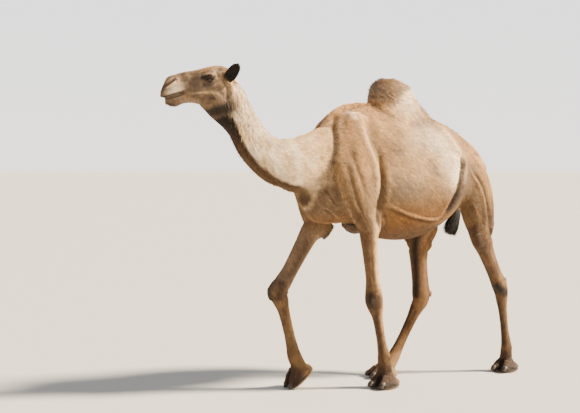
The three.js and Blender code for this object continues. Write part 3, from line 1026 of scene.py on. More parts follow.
MOUTH_LINE = (
    (0, -432, -4), (26, -418, -8), (40, -392, -14), (45, -350, -16), (46, -310, -13), (51, -272, -2)
)
NOSTRIL = ((38, -388, 58), (44, -364, 65), (45, -338, 75), (41, -312, 86))


def face_stroke(
    line: Sequence[tuple], width: float, height: float, fade: float = 0.2, both: bool = True
) -> Stroke:
    """A stroke measured in the head's frame."""
    return Stroke(tuple(line), width, height, HEAD, both, fade, 30.0)


# Each line of the face with its width and height, the share over which its ends fade, and whether it has a
# twin on the other side.
FACE_LINES = (
    (MOUTH_LINE, 6.5, -10, 0.1),
    (shifted(MOUTH_LINE, (2, 2, 17)), 11, 6),
    (((0, -415, -44), (26, -402, -42), (40, -372, -44)), 14, 5, 0.0),
    (((0, -436, 24), (0, -434, 10), (0, -430, -4)), 5, -6, 0.0, False),
    (((51, -286, -8), (56, -268, 2), (56, -252, 10)), 9, 5),
    (NOSTRIL, 5.5, -12, 0.1),
    (shifted(NOSTRIL, (-4, -2, 13)), 8, 6),
    (shifted(NOSTRIL, (4, 4, -13)), 8, 5),
    (((38, -308, 96), (46, -296, 84), (50, -300, 66)), 7, 4),
    (((30, -250, 100), (52, -240, 84), (62, -235, 62)), 18, 4),
    (((62, -190, 72), (64, -205, 40), (58, -235, 8), (52, -262, -20)), 22, -8),
    (((78, -154, 22), (82, -150, 6), (78, -156, -10)), 11, -6),
    (((70, -186, -20), (84, -146, -28), (92, -106, -26), (92, -62, -16)), 12, 6),
    (((84, -120, -80), (80, -80, -70)), 42, 6, 0.0),
    (((52, -262, -24), (60, -220, -38), (76, -170, -46), (88, -120, -64), (88, -85, -86)), 9, 6),
    (((52, -255, -40), (62, -215, -56), (78, -165, -68), (86, -125, -88)), 9, -5),
    (((30, -290, -76), (46, -240, -100), (62, -195, -128), (76, -140, -146)), 11, 5),
    (((74, -158, 48), (90, -130, 56), (94, -100, 52), (90, -76, 36)), 10, 10),
    (((64, -162, 68), (78, -130, 76), (82, -96, 74)), 8, -5),
    (((72, -66, 90), (86, -70, 66), (93, -68, 40), (94, -74, 12)), 7, 8),
    (((68, -52, 88), (82, -55, 66), (90, -54, 40), (92, -60, 12)), 7, -7),
    (((60, -36, 86), (74, -34, 62)), 20, -8, 0.0),
    (((90, -140, -14), (97, -112, -22), (94, -84, -14)), 6, 4),
    (((86, -146, -26), (95, -114, -34), (94, -84, -26)), 6, -4),
    (((86, -30, 10), (88, -20, -40), (78, -30, -100), (60, -60, -150)), 13, -8),
    (((84, 6, 0), (84, 14, -50), (74, 8, -110)), 12, 5),
    (((78, 40, -10), (80, 50, -60), (72, 46, -130)), 10, -4),
    (((0, -60, 112), (0, -120, 112), (0, -180, 116)), 14, -3, 0.2, False),
)
FACE_FOLDS = tuple(face_stroke(*line) for line in FACE_LINES)


@dataclass
class Hide:
    """The skin with what its coat needs: part, place and angle on the part, lie of the hair, colour,
    bareness.
    """

    surface: Surface
    names: np.ndarray
    t: np.ndarray
    angle: np.ndarray
    lie: np.ndarray
    tint: np.ndarray
    bare: np.ndarray

    @staticmethod
    def joined(hides: Sequence["Hide"]) -> "Hide":
        """Several hides as one, each still a shell of its own."""
        keys = ("names", "t", "angle", "lie", "tint", "bare")
        return Hide(
            joined([h.surface for h in hides]),
            *(np.concatenate([getattr(h, key) for h in hides]) for key in keys)
        )


@dataclass(frozen=True)
class Ear:
    """A cupped ear: the rings' lower reach is negative, so that their open side is hollow."""

    loft: Loft = Loft(
        stations=(
            (54, -24, -18, 18, 12, 10, 62),
            (72, -2, -8, 29, 15, 5, 62),
            (86, 22, 9, 37, 20, -9, 62),
            (94, 46, 28, 36, 20, -12, 62),
            (99, 67, 44, 30, 16, -9, 62),
            (101, 80, 53, 16, 9, -4, 62),
        ),
        domes=(6, 3),
    )

    def hide(self, side: int) -> Hide:
        """The ear on one side in the body's frame, dark inside and sooty behind."""
        rings, around = 44, 56
        made = self.loft.surface(rings=rings, around=around, inset=0.0)
        count = len(made.vertices)
        row = np.minimum(np.arange(count) // around, rings + 9)
        t = np.clip((row - 5) / (rings - 1), 0, 1)
        angle = np.arange(count) % around * 2 * np.pi / around
        steps = np.gradient(spline(self.loft.rows()[:, :3], np.linspace(0, 1, 60)), axis=0)
        lie = unit(steps)[np.round(t * 59).astype(int)] * (side, 1, 1)
        inside = smoothstep(0.1, -0.5, np.sin(angle)) * smoothstep(0.15, 0.4, t)
        fleck = ripple(made.vertices, 9, (0.3, 0.8, 0.5), 3, 21)
        layers = (
            (Tone.SOOT.linear, smoothstep(0.02, 0.2, t)),
            (Tone.BLACK.linear, smoothstep(0.1, 0.3, t) * 0.7),
            (Tone.BLACK.linear, inside * 0.85),
            (Tone.UMBER.linear, smoothstep(0.62, 0.95, fleck) * 0.5 * smoothstep(0.2, 0.4, t)),
        )
        tint = blended(np.tile(Tone.FAWN.linear, (count, 1)), layers)
        surface = on_head(made, side)
        name = "left_ear" if side > 0 else "right_ear"
        return Hide(surface, np.full(count, name), t, angle, HEAD.turned(lie), tint, inside * 0.6)


@dataclass(frozen=True)
class Eye:
    """An eye with its lids, in the head's frame on the left side; angles are measured from the way that it
    looks.
    """

    centre: tuple = (81, -109, 16)
    radius: float = 20.5
    looks: tuple = (0.955, -0.21, 0.08)
    corner: tuple = (0.0, -0.95, 0.24)  # direction of the front corner
    half_width: float = 18.5
    upper: float = 10.5
    lower: float = 8.5
    outer: float = 1.28  # radians at which the lids sink into the skin

    @property
    def axes(self) -> np.ndarray:
        """Rows: to the front corner, up, and out."""
        out = unit(np.array(self.looks))
        front = np.array(self.corner)
        front = unit(front - out * (front @ out))
        return np.stack([front, np.cross(front, out), out])

    def polar(self, theta: np.ndarray, turn: np.ndarray, reach: np.ndarray) -> np.ndarray:
        """Points at an angle from the axis, a turn round it and a distance from the eye's centre."""
        local = np.stack([np.sin(theta) * np.cos(turn), np.sin(theta) * np.sin(turn), np.cos(theta)], axis=-1)
        return np.array(self.centre) + (local @ self.axes) * reach[..., None]

    def around(self, points: np.ndarray, side: int) -> tuple[np.ndarray, np.ndarray, np.ndarray]:
        """Vectors from the eye's centre to body points, their lengths and their angles from the axis."""
        away = HEAD.from_body(points) * (side, 1, 1) - self.centre
        reach = np.linalg.norm(away, axis=1)
        return away, reach, np.arccos(np.clip(away @ self.axes[2] / np.maximum(reach, 1e-6), -1, 1))

    def press_socket(self, flesh: Surface, side: int) -> None:
        """Presses the skin in behind the eyeball, where the lids cover it."""
        away, reach, theta = self.around(flesh.vertices, side)
        share = smoothstep(1.18, 0.95, theta) * (reach < 60)
        pressed = np.minimum(reach, self.radius - 5)
        away *= (1 + (pressed / np.maximum(reach, 1e-6) - 1) * share)[:, None]
        near = share > 0
        flesh.vertices[near] = HEAD.to_body((away[near] + self.centre) * (side, 1, 1))

    def rim(self, turn: np.ndarray) -> tuple[np.ndarray, np.ndarray]:
        """Angle from the axis and turn round it of the lids' edge, an almond with its corners front and
        back.
        """
        x = self.half_width * np.cos(turn)
        height = np.where(np.sin(turn) > 0, self.upper, self.lower)
        y = height * np.sin(turn) * np.abs(np.sin(turn)) ** 0.3
        return np.arcsin(np.hypot(x, y) / (self.radius + 1)), np.arctan2(y, x)

    def lid(self, flesh: Surface, side: int) -> Hide:
        """Both lids as one closed ring round the eye, from the edge over the ball to under the skin.

        The distance from the centre is the ball's radius with a rolled edge near the opening, and passes
        smoothly to the skin's own distance in that direction, a mean of the vertices near it weighted by
        exp(-80 (1 - cos)).
        """
        rows, columns = 18, 72
        step = np.linspace(0, 2 * np.pi, columns, endpoint=False)
        rim, turn = self.rim(step)
        share = np.linspace(0, 1, rows)[:, None] ** 1.2
        theta = rim + (self.outer - rim) * share
        turn = np.tile(turn, (rows, 1))
        away, reach, from_axis = self.around(flesh.vertices, side)
        near = (reach < 62) & (from_axis < 1.9)
        directions = unit(self.polar(theta, turn, np.ones_like(theta)) - np.array(self.centre)).reshape(-1, 3)
        weight = np.exp(80 * (directions @ unit(away[near]).T - 1))
        skin = ((weight @ reach[near]) / weight.sum(1)).reshape(rows, columns)
        blend = smoothstep(0.12, 0.92, share)
        above = np.sin(turn)
        ball = self.radius + 0.9 + 2.6 * smoothstep(0.0, 0.14, theta - rim)
        crease = 1.7 * np.exp(-(((theta - rim - 0.30) / 0.07) ** 2)) * smoothstep(0.15, 0.6, above)
        crease += 1.1 * np.exp(-(((theta - rim - 0.26) / 0.06) ** 2)) * smoothstep(-0.15, -0.6, above)
        crease += 0.9 * np.exp(-(((theta - rim - 0.46) / 0.06) ** 2)) * smoothstep(-0.15, -0.6, above)
        top = ball * (1 - blend) + (skin + 0.9) * blend - crease - 3.4 * smoothstep(0.9, 1.0, share)
        under = np.stack([top[-1] - 3.0, top[rows // 2] - 5.0, np.full(columns, self.radius - 3.0)])
        deep = np.stack([theta[-1], theta[rows // 2], rim + 0.02])
        every = self.polar(np.vstack([theta, deep]), np.vstack([turn, turn[:3]]), np.vstack([top, under]))
        made = Surface(every.reshape(-1, 3), grid_faces(rows + 3, columns, True, True))
        share = np.vstack([np.tile(share, (1, columns)), np.full((3, columns), 0.5)]).ravel()
        turn = np.vstack([turn, turn[:3]]).ravel()
        layers = (
            (Tone.GREY.linear, smoothstep(0.45, 1.0, share) * smoothstep(0.4, -0.6, np.sin(turn))),
            (
                Tone.SOOT.linear,
                smoothstep(-0.7, 0.5, np.cos(turn)) * smoothstep(-0.2, 0.5, np.sin(turn)) * 0.9
            ),
            (Tone.UMBER.linear, smoothstep(0.5, 0.2, share) * 0.8),
            (Tone.BLACK.linear, smoothstep(0.14, 0.04, share)),
        )
        tint = blended(np.tile(Tone.BROWN.linear, (len(share), 1)), layers)
        surface = on_head(made, side)
        lie = unit(surface.vertices - HEAD.to_body(np.array(self.centre) * (side, 1, 1)))
        lie = unit(lie + HEAD.turned(np.array([[0.0, 1.0, -0.3]])) * 0.8)
        name = "left_lid" if side > 0 else "right_lid"
        bare = smoothstep(0.35, 0.15, share)
        bare[rows * columns :] = 1
        return Hide(surface, np.full(len(share), name), share, turn, lie, tint, bare)

    def ball(self, side: int) -> tuple[Surface, np.ndarray]:
        """The eyeball with its cornea, and its colours.

        The distance from the centre is the radius + 1.5 exp(-(theta / 0.5)^2); the colour goes by the
        distance from the axis: an oval pupil, a streaked brown iris, a dark ring and the brownish white.
        """
        rows, columns = 60, 72
        theta = np.clip(np.linspace(0.0, np.pi, rows)[:, None], 1e-4, np.pi - 1e-4)
        turn = np.linspace(0, 2 * np.pi, columns, endpoint=False)[None]
        reach = np.tile(self.radius + 1.5 * np.exp(-((theta / 0.5) ** 2)), (1, columns))
        points = self.polar(np.tile(theta, (1, columns)), np.tile(turn, (rows, 1)), reach)
        poles = np.stack([points[0].mean(0), points[-1].mean(0)])
        grid = points[1:-1].reshape(-1, 3)
        inner = rows - 2
        k = np.arange(columns)
        fan = np.stack([np.full(columns, len(grid)), (k + 1) % columns, k], axis=1)
        last = (inner - 1) * columns
        back = np.stack([np.full(columns, len(grid) + 1), last + k, last + (k + 1) % columns], axis=1)
        made = Surface(np.vstack([grid, poles]), np.vstack([grid_faces(inner, columns), fan, back]))
        across = self.radius * np.sin(theta[1:-1]) * np.cos(turn)
        over = self.radius * np.sin(theta[1:-1]) * np.sin(turn)
        away = np.hypot(across, over)
        streak = ripple(
            np.stack([np.cos(turn) * 40, np.sin(turn) * 40, turn * 0], axis=-1)[0], 7, (0, 0, 1), 1, 31
        )
        in_front = theta[1:-1] < 1.6
        ring, iris, pupil = (np.array(to_linear(code)) for code in ("#1c0f08", "#3a200f", "#120906"))
        layers = (
            (ring, smoothstep(16.0, 14.5, away) * in_front),
            (iris, smoothstep(14.0, 12.0, away) * (0.35 + 0.65 * streak) * in_front),
            (pupil, smoothstep(1.12, 0.9, np.hypot(across / 9.5, over / 5.5)) * in_front),
        )
        tint = blended(np.tile(np.array(to_linear("#2a1d16")), (inner, columns, 1)), layers)
        tint = np.vstack([tint.reshape(-1, 3), tint[0, :1], tint[-1, :1]])
        return on_head(made, side), tint


EAR = Ear()
EYE = Eye()
TAIL_TUFT = (
    (-56, 1040, 1148, 22, 24, 24),
    (-62, 1006, 1090, 28, 34, 32),
    (-64, 980, 1030, 26, 32, 28),
    (-62, 958, 975, 12, 14, 12),
)
BREAST_PAD = (
    (0, 130, 1045, 44, 30, 30),
    (0, 85, 1040, 66, 30, 42),
    (0, 35, 1046, 66, 30, 42),
    (0, -8, 1060, 42, 26, 28),
)


class Skin:
    """The whole flesh: lofts joined into one surface, smoothed where they meet, and sculpted."""

    RELIEF = 1.45  # how many times their own height the folds are cut
    SETTLE_ROUNDS = 45  # how often the hollows are drawn towards their neighbours' mean
    EVENING = (0.5, -0.52)  # a step in and one back out, which take off fine roughness and keep the volume

    def __init__(self) -> None:
        """Joins the lofts of every part and smooths the surface."""
        pieces = [part.surface() for part in (TRUNK, HUMP, NECK, TAIL, *(leg.limb() for leg in LEGS))]
        heads = [part.surface() for part in (SKULL, JAW)] + [self.orbit(side) for side in (1, -1)]
        pieces += [Surface(HEAD.to_body(piece.vertices), piece.faces) for piece in heads]
        for leg in LEGS:
            pieces += [
                leg.on_sole(loft.surface(rings=30, around=48, inset=3.0))
                for loft in (FOOT_PAD, *TOES)
            ]
        self.surface = voxel_skin(pieces, SKIN_GRAIN)
        self.near = Neighbours(self.surface)
        self.settle()
        self.parts = body_parts()
        limb_folds = (fold for leg in LEGS for fold in (*leg_folds(leg), *foot_folds(leg)))
        self.sculpt((*BODY_FOLDS, *limb_folds, *FACE_FOLDS))
        located = PartMap(self.parts).locate(self.surface.vertices)
        located.lie = unit(self.near.blurred(located.lie, 6))
        paint = MarkingsAndPaintedLight(self.surface, self.parts, located, self.near)
        flesh = Hide(
            self.surface, paint.names, located.t, located.angle, located.lie, paint.painted(), paint.bare()
        )
        lids = [EYE.lid(self.surface, side) for side in (1, -1)]
        for side in (1, -1):
            EYE.press_socket(self.surface, side)
        self.hide = Hide.joined([flesh, *lids, *(EAR.hide(side) for side in (1, -1))])
        log.info(
            "skin grown: %d vertices, %d triangles", *map(len, (self.hide.names, self.hide.surface.faces))
        )

    def orbit(self, side: int) -> Surface:
        """The bony ring round an eye, an ellipsoid set into the skull."""
        rows = ((0, -135, 16, 20, 18, 18), (0, -109, 16, 33, 30, 30), (0, -83, 16, 20, 18, 18))
        made = Loft(rows, facing=(0, -1, 0), domes=(16, 16)).surface(rings=24, around=32, inset=1.0)
        return Surface(made.vertices + (side * 60, 0, 0), made.faces)

    def settle(self) -> None:
        """Rounds off the creases where lofts meet.

        Each round moves a vertex towards its neighbours' mean by a share that is high where the surface is
        hollow.
        """
        body = self.surface
        in_head = HEAD.from_body(body.vertices)
        is_face = smoothstep(-40, -120, in_head[:, 1]) * smoothstep(160, 110, np.abs(in_head[:, 0]))
        is_foot = smoothstep(150, 80, body.vertices[:, 2])
        hollow = self.near.blurred(self.hollowness(), 3)
        share = smoothstep(0.02, 0.12, hollow)
        share = smoothstep(0.0, 0.35, self.near.blurred(share, 10))
        share = np.maximum(share * (1 - is_face) * (1 - is_foot), 0.0)
        for _ in range(self.SETTLE_ROUNDS):
            body.vertices += (self.near.mean(body.vertices) - body.vertices) * share[:, None] * 0.6
        for step in self.EVENING * 3:
            body.vertices += (self.near.mean(body.vertices) - body.vertices) * step

    def sculpt(self, folds: Sequence[Stroke]) -> None:
        """Moves the skin out and in along its normals by the heights of all folds."""
        body = self.surface
        normals = self.near.blurred(body.normals(), 2)
        normals = unit(normals)
        height = sum(fold.strength(body, normals) * fold.height for fold in folds) * self.RELIEF
        body.vertices += normals * height[:, None]
        for step in (0.4, -0.42):
            body.vertices += (self.near.mean(body.vertices) - body.vertices) * step

    def hollowness(self) -> np.ndarray:
        """How far each vertex lies under the mean of its neighbours, as a share of their distance."""
        body = self.surface
        pull = self.near.mean(body.vertices) - body.vertices
        size = np.linalg.norm(body.vertices[self.near.start] - body.vertices[self.near.end], axis=1)
        size = np.bincount(self.near.start, size, self.near.count) / self.near.degree
        return (pull * body.normals()).sum(1) / size


# ------------------------------------------------------------ markings, with painted light and shade
class Tone(Enum):
    """The coat's colours as sRGB, from the palest hair to the darkest, used both for the hair's own markings
    and for painted light and shade.
    """

    CREAM = "#efdfc4"
    STRAW = "#d2ae7c"
    DUN = "#8d7866"
    SAND = "#a2784a"
    FAWN = "#795c39"
    TAN = "#5c442a"
    RUST = "#785024"
    GREY = "#5c4c3e"
    BROWN = "#46301b"
    UMBER = "#2f1e12"
    SOOT = "#17100a"
    BLACK = "#0d0907"
    RIM = "#7d6a4e"

    @property
    def linear(self) -> np.ndarray:
        """The colour as linear red, green and blue."""
        return np.array(to_linear(self.value))


def ripple(
    points: np.ndarray, grain: float, along: tuple, stretch: float, seed: int, waves: int = 40
) -> np.ndarray:
    """Soft streaks from 0 to 1: a sum of plane waves whose lengths are near grain, and longer along one
    direction.

    Args:
        points: (n, 3) millimetres.
        grain: typical distance from streak to streak.
        along: the direction in which the streaks run.
        stretch: how many times longer than broad they are.
        seed: number that fixes the waves.
        waves: how many waves are added.

    Returns:
        (n,) values.
    """
    rng = np.random.default_rng(seed)
    direction = unit(rng.normal(size=(waves, 3)))
    axis = unit(np.array(along, float))
    direction -= axis * (direction @ axis)[:, None] * (1 - 1 / stretch)
    lengths = grain * rng.uniform(0.7, 1.8, waves)
    total = np.sin(
        points @ (direction * (2 * np.pi / lengths)[:, None]).T + rng.uniform(0, 2 * np.pi, waves)
    ).sum(1)
    return np.clip(0.5 + total / math.sqrt(2 * waves) * 0.6, 0, 1)


class MarkingsAndPaintedLight:
    """The colour of skin and coat at each vertex, painted in soft patches and lines from pale to dark: the
    coat's own markings, with painted light and painted shade laid in among them.
    """

    def __init__(self, surface: Surface, parts: Sequence[Part], located: Located, near: Neighbours) -> None:
        """Args: surface, parts, located, near: the skin and where each vertex lies on it."""
        self.surface, self.near = surface, near
        self.normals = surface.normals()
        self.names = np.array([part.name for part in parts])[located.part]
        self.degrees = np.degrees(located.angle)
        counts = np.array([len(part.loft.stations) - 1 for part in parts])
        self.station = located.t * counts[located.part]
        self.head = HEAD.from_body(surface.vertices)
        self.tint = np.tile(Tone.FAWN.linear, (len(surface.vertices), 1))

    def mix(self, tone: Tone, amount: np.ndarray) -> None:
        """Blends a tone in by an amount from 0 to 1 for each vertex."""
        self.tint += (tone.linear - self.tint) * np.clip(amount, 0, 1)[:, None]

    def patch(self, tone: Tone, centre: tuple, reach: tuple, amount: float, on_face: bool = False) -> None:
        """A soft oval patch, exp(-d^2) in shares of its reach, on both sides of the body or face."""
        points = self.head if on_face else self.surface.vertices
        away = (folded(points) - np.array(centre)) / np.array(reach)
        mask = smoothstep(60, 40, self.face_gap()) if on_face else 1.0
        self.mix(tone, amount * np.exp(-(away**2).sum(1)) * mask)

    def face_gap(self) -> np.ndarray:
        """Zero on the head, and growing away from it."""
        return np.maximum(self.head[:, 1] - 60, 0) + np.maximum(-240 - self.head[:, 2], 0)

    def line(self, tone: Tone, stroke: Stroke, amount: float) -> None:
        """A soft line of a tone."""
        self.mix(tone, amount * stroke.strength(self.surface, self.normals))

    def zone(self, names: Sequence[str], rounds: int = 8) -> np.ndarray:
        """1 on the named parts and 0 elsewhere, blurred over the neighbours."""
        return self.near.blurred(np.isin(self.names, names).astype(float), rounds)

    def painted(self) -> np.ndarray:
        """Paints everything, the broad areas first, and returns the tints."""
        self.paint_trunk()
        self.paint_neck()
        for leg in LEGS:
            self.paint_leg(leg)
        self.paint_head()
        # painted shade in the hollows and painted light on the ridges, multiplied into every tint
        self.tint *= self.painted_hollow_shade_and_ridge_light()[:, None]
        return np.clip(self.tint, DARKEST, 1)

    def painted_hollow_shade_and_ridge_light(self) -> np.ndarray:
        """Painted shade and painted light: a factor below 1 that darkens the hollows and above 1 that
        lightens the ridges, from how far each vertex lies under its blurred place.
        """
        points = self.surface.vertices
        under = [((self.near.blurred(points, rounds) - points) * self.normals).sum(1) for rounds in (4, 24)]
        depth = np.clip(under[0] / 1.2, -1, 1) * 0.16 + np.clip(under[1] / 5.0, -1, 1) * 0.26
        return np.exp(-self.near.blurred(depth, 1))

    def bare(self) -> np.ndarray:
        """Where no coat grows: mouth, nostrils, calluses and the edge of each sole."""
        bare = np.zeros(len(self.tint))
        for stroke in (face_stroke(MOUTH_LINE, 6, 0), face_stroke(NOSTRIL, 6, 0)):
            bare = np.maximum(bare, stroke.strength(self.surface, self.normals))
        for leg in LEGS:
            foot = leg.foot_place.from_body(self.surface.vertices)
            bare = np.maximum(bare, np.isin(self.names, leg.part_names) * smoothstep(26, 18, foot[:, 2]))
            spots = (
                (5.9, -92), (6.5, -90), (10.9, 70)
            ) if leg.kind is LegKind.FORE else ((4.7, 60), (5.2, 70))
            for spot in spots:
                stroke = Stroke(
                    on_limb(leg, [spot, (spot[0] + 0.3, spot[1])]), 20, 0, both=False, fade=0, depth=40
                )
                bare = np.maximum(bare, stroke.strength(self.surface, self.normals))
        return bare

    def paint_trunk(self) -> None:
        """Sandy flank with grey-brown streaks and cream ridges and patches, partly painted highlights; a
        rusty belly and rump, the belly browner downwards, partly painted shade; a sooty hump front, partly
        painted shade; and painted shadow in the creases at the shoulder, behind the arm and before the thigh.
        """
        x, y, z = self.surface.vertices.T
        x = np.abs(x)
        trunk = self.zone(["trunk", "hump"])
        flat = self.surface.vertices * (0.3, 1, 1)
        # lighter upper trunk: partly sandy hair, partly painted light over the top of the barrel
        self.mix(Tone.SAND, trunk * smoothstep(1150, 1500, z) * 0.9)
        streaks = ripple(flat, 60, (0, 0.62, -0.78), 3, 3)
        patches = ripple(flat, 230, (0, 0.62, -0.78), 1.6, 8)
        fine = ripple(flat, 24, (0, 0.62, -0.78), 3.5, 4)
        upper = trunk * smoothstep(1150, 1400, z) * smoothstep(60, 200, y)
        self.mix(Tone.STRAW, upper * 0.15 * smoothstep(1830, 1560, z))
        self.mix(Tone.GREY, upper * 0.6 * smoothstep(0.35, 0.75, patches) * smoothstep(0.2, 0.75, streaks))
        self.mix(Tone.GREY, upper * 0.35 * smoothstep(0.5, 0.85, fine))
        self.mix(Tone.STRAW, upper * 0.35 * smoothstep(0.5, 0.2, patches))
        self.patch(Tone.GREY, (285, 240, 1290), (200, 190, 110), 0.7)
        self.patch(Tone.GREY, (240, 330, 1560), (200, 90, 150), 0.35)
        # pale patches on the flank: partly pale hair, partly painted light where the flank catches the light
        self.patch(Tone.CREAM, (250, 680, 1450), (170, 120, 150), 0.55)
        self.patch(Tone.CREAM, (170, 560, 1620), (130, 160, 110), 0.45)
        # dark patch low on the belly: partly dark hair, partly painted shade under the barrel
        self.patch(Tone.UMBER, (210, 420, 1070), (160, 200, 75), 0.75)
        # pale patch on the back of the hump: partly pale hair, partly painted light on the face turned to the
        # light
        self.patch(Tone.CREAM, (80, 440, 1900), (140, 130, 120), 0.6)
        self.patch(Tone.BROWN, (220, 150, 1440), (90, 45, 170), 0.5)
        # browner towards the belly: partly the hair's own rust and brown, partly painted shade under the
        # barrel
        self.mix(Tone.RUST, trunk * smoothstep(1270, 1120, z) * smoothstep(60, 240, y) * 0.85)
        self.mix(Tone.BROWN, trunk * smoothstep(1110, 990, z) * 0.8)
        self.patch(Tone.RUST, (240, 560, 1240), (120, 160, 90), 0.55)
        rump = trunk * smoothstep(700, 860, y)
        self.mix(Tone.RUST, rump * 0.6 * smoothstep(230, 90, x) * smoothstep(1300, 1450, z))
        self.mix(Tone.TAN, trunk * smoothstep(1400, 1290, z) * smoothstep(-60, -200, y) * 0.95)
        self.mix(Tone.DUN, trunk * smoothstep(1500, 1300, z) * smoothstep(-60, -200, y) * 0.15)
        self.mix(Tone.RUST, trunk * smoothstep(1180, 1090, z) * smoothstep(0, -120, y) * 0.6)
        self.line(Tone.SAND, Stroke(shifted(BELLY_FOLD, (0, 0, 5)), 9), 0.7)
        self.line(Tone.BROWN, Stroke(shifted(BELLY_FOLD, (0, 0, -18)), 12), 0.7)
        # painted shadow in the gap between belly and thigh, darkest in the groove and spreading over the
        # shaded front of the thigh
        self.line(Tone.SOOT, Stroke(FLANK_GROOVE, 24), 0.95)
        self.line(Tone.SOOT, Stroke(shifted(FLANK_GROOVE[3:], (0, 24, -10)), 40), 0.9)
        self.line(Tone.UMBER, Stroke(shifted(FLANK_GROOVE[2:], (0, 50, -10)), 60), 0.9)
        # painted highlight along the belly's rear edge in front of the groove
        self.line(Tone.CREAM, Stroke(shifted(FLANK_GROOVE[:4], (0, -60, 0)), 30), 0.4)
        self.patch(Tone.BROWN, (250, 840, 1300), (120, 90, 230), 0.75)
        self.patch(Tone.SAND, (160, 1080, 1300), (130, 80, 260), 0.85)
        # tan over the front of the shoulder: partly tan hair, partly painted shade on the side that faces
        # away from the light
        self.line(
            Tone.TAN, Stroke(((40, -60, 1780), (120, -90, 1660), (170, -120, 1560), (215, -130, 1430)), 80),
            0.45
        )
        self.line(Tone.CREAM, Stroke(((60, -30, 1815), (130, -30, 1740)), 40), 0.35)
        # painted shade in the creases at the front of the shoulder
        self.line(Tone.BROWN, Stroke(((183, -110, 1571), (234, -111, 1445), (253, -85, 1351)), 20), 0.6)
        self.line(Tone.BROWN, Stroke(SHOULDER_FRONT, 16), 0.5)
        self.line(Tone.SOOT, Stroke(((50, -150, 1760), (84, -168, 1660), (110, -185, 1600)), 9), 0.5)
        # painted highlight along the ridge of the shoulder blade
        self.line(Tone.STRAW, Stroke(shifted(BLADE_RIDGE, (0, 14, 0)), 46), 0.5)
        # painted shade in the crease behind the arm
        self.line(Tone.UMBER, Stroke(BEHIND_ARM[1:], 20), 0.75)
        # darker front of the hump: partly its own grey-brown hair, partly painted shade on the side turned
        # from the light
        hump_front = ((0, 262, 2020), (0, 232, 2004), (0, 205, 1965), (0, 186, 1920), (0, 176, 1880))
        self.line(Tone.GREY, Stroke(hump_front, 66, 0, both=False, depth=150), 0.9)
        self.line(Tone.UMBER, Stroke(hump_front[:3], 30, 0, both=False, depth=150), 0.5)
        self.line(
            Tone.BROWN,
            Stroke(((0, 240, 2060), (0, 330, 2072), (0, 400, 2050)), 60, 0, both=False, depth=150), 0.75
        )

    def paint_neck(self) -> None:
        """Cream sides, a brown underside with a clear edge that turns to soot at the throat, and a tan
        nape.
        """
        neck = self.zone(["neck"], 5)
        down = -self.degrees
        down = np.where(down > 90, 180 - down, down)
        down = np.where(np.isin(self.names, ["neck"]), down, -90.0)
        edge = np.interp(self.station, [1.5, 3, 5, 6.5, 8, 9], [74, 62, 50, 38, 28, 24])
        mottle = ripple(self.surface.vertices, 60, (0, 0.5, -1), 4, 7)
        wisps = ripple(self.surface.vertices, 22, (0, 0.35, -1), 5, 8)
        edge = edge + 26 * (wisps - 0.5) * smoothstep(5, 7, self.station)
        under = self.near.blurred(smoothstep(edge - 5, edge + 7, down), 1)
        self.mix(Tone.STRAW, neck * smoothstep(0.4, 1.6, self.station) * 0.9)
        self.mix(Tone.CREAM, neck * smoothstep(1.2, 3.6, self.station) * 0.85)
        self.mix(Tone.STRAW, neck * (0.2 + 0.5 * smoothstep(0.35, 0.85, mottle)))
        self.mix(Tone.SAND, neck * smoothstep(0.5, 0.9, wisps) * 0.3)
        self.mix(Tone.GREY, neck * smoothstep(0.55, 0.9, wisps) * smoothstep(6.0, 8.0, self.station) * 0.7)
        self.mix(Tone.SAND, neck * smoothstep(-62, -84, down) * 0.6)
        self.mix(Tone.TAN, under)
        self.mix(Tone.BROWN, under * smoothstep(2.5, 4.5, self.station) * 0.8)
        self.mix(
            Tone.SOOT,
            under * smoothstep(4.6, 6.6, self.station) * smoothstep(edge - 4, edge + 20, down) * 0.95
        )

    def paint_leg(self, leg: Leg) -> None:
        """Tan down to dark feet, with bare calluses and a sooty inner streak behind, painted light on the
        backs of legs and feet and painted shade on their fronts; a pale rim round the sole.
        """
        limb = self.zone(leg.part_names, 6)
        z = self.surface.vertices[:, 2]
        front = np.cos(np.radians(self.degrees - 60 if leg.side > 0 else self.degrees - 120))
        back = np.cos(np.radians(self.degrees + 60 if leg.side > 0 else self.degrees + 120))
        mottle = ripple(self.surface.vertices, 48, (0, 0, 1), 6, 11)
        fine = ripple(self.surface.vertices, 17, (0, 0, 1), 5, 12)
        self.mix(Tone.TAN, limb * smoothstep(1320, 1100, z) * 0.95)
        # painted light on the backs of the legs, which face the light, and painted shade on their fronts,
        # between about 150 and 1150 mm up; strongest on the near foreleg
        painted_light_band = smoothstep(1150, 950, z) * smoothstep(150, 420, z)
        self.mix(
            Tone.SAND, limb * painted_light_band * smoothstep(-0.4, 0.6, back) * (1.0 if leg.name == "left_fore" else 0.4)
        )
        self.mix(Tone.BROWN, limb * painted_light_band * smoothstep(0.45, 0.95, front) * 0.5)
        self.mix(Tone.BROWN, limb * smoothstep(1250, 1000, z) * smoothstep(0.45, 0.85, mottle) * 0.5)
        self.mix(Tone.UMBER, limb * smoothstep(1100, 900, z) * smoothstep(0.6, 0.9, fine) * 0.4)
        self.mix(Tone.BROWN, limb * smoothstep(330, 120, z) * 0.7)
        self.mix(Tone.UMBER, limb * smoothstep(170, 70, z) * 0.75)
        # painted highlight down the back of the near foreleg, on the side that faces the light
        if leg.name == "left_fore":
            outer = smoothstep(1300, 1050, z) * smoothstep(560, 760, z) * smoothstep(-0.3, 0.5, back)
            self.mix(Tone.STRAW, limb * outer * 0.6)
        if leg.name == "right_hind":
            self.mix(Tone.RUST, limb * 0.35)
            self.mix(Tone.BROWN, limb * 0.35)
        if leg.name == "right_fore":
            self.mix(Tone.DUN, limb * smoothstep(1150, 950, z) * smoothstep(560, 720, z) * 0.25)

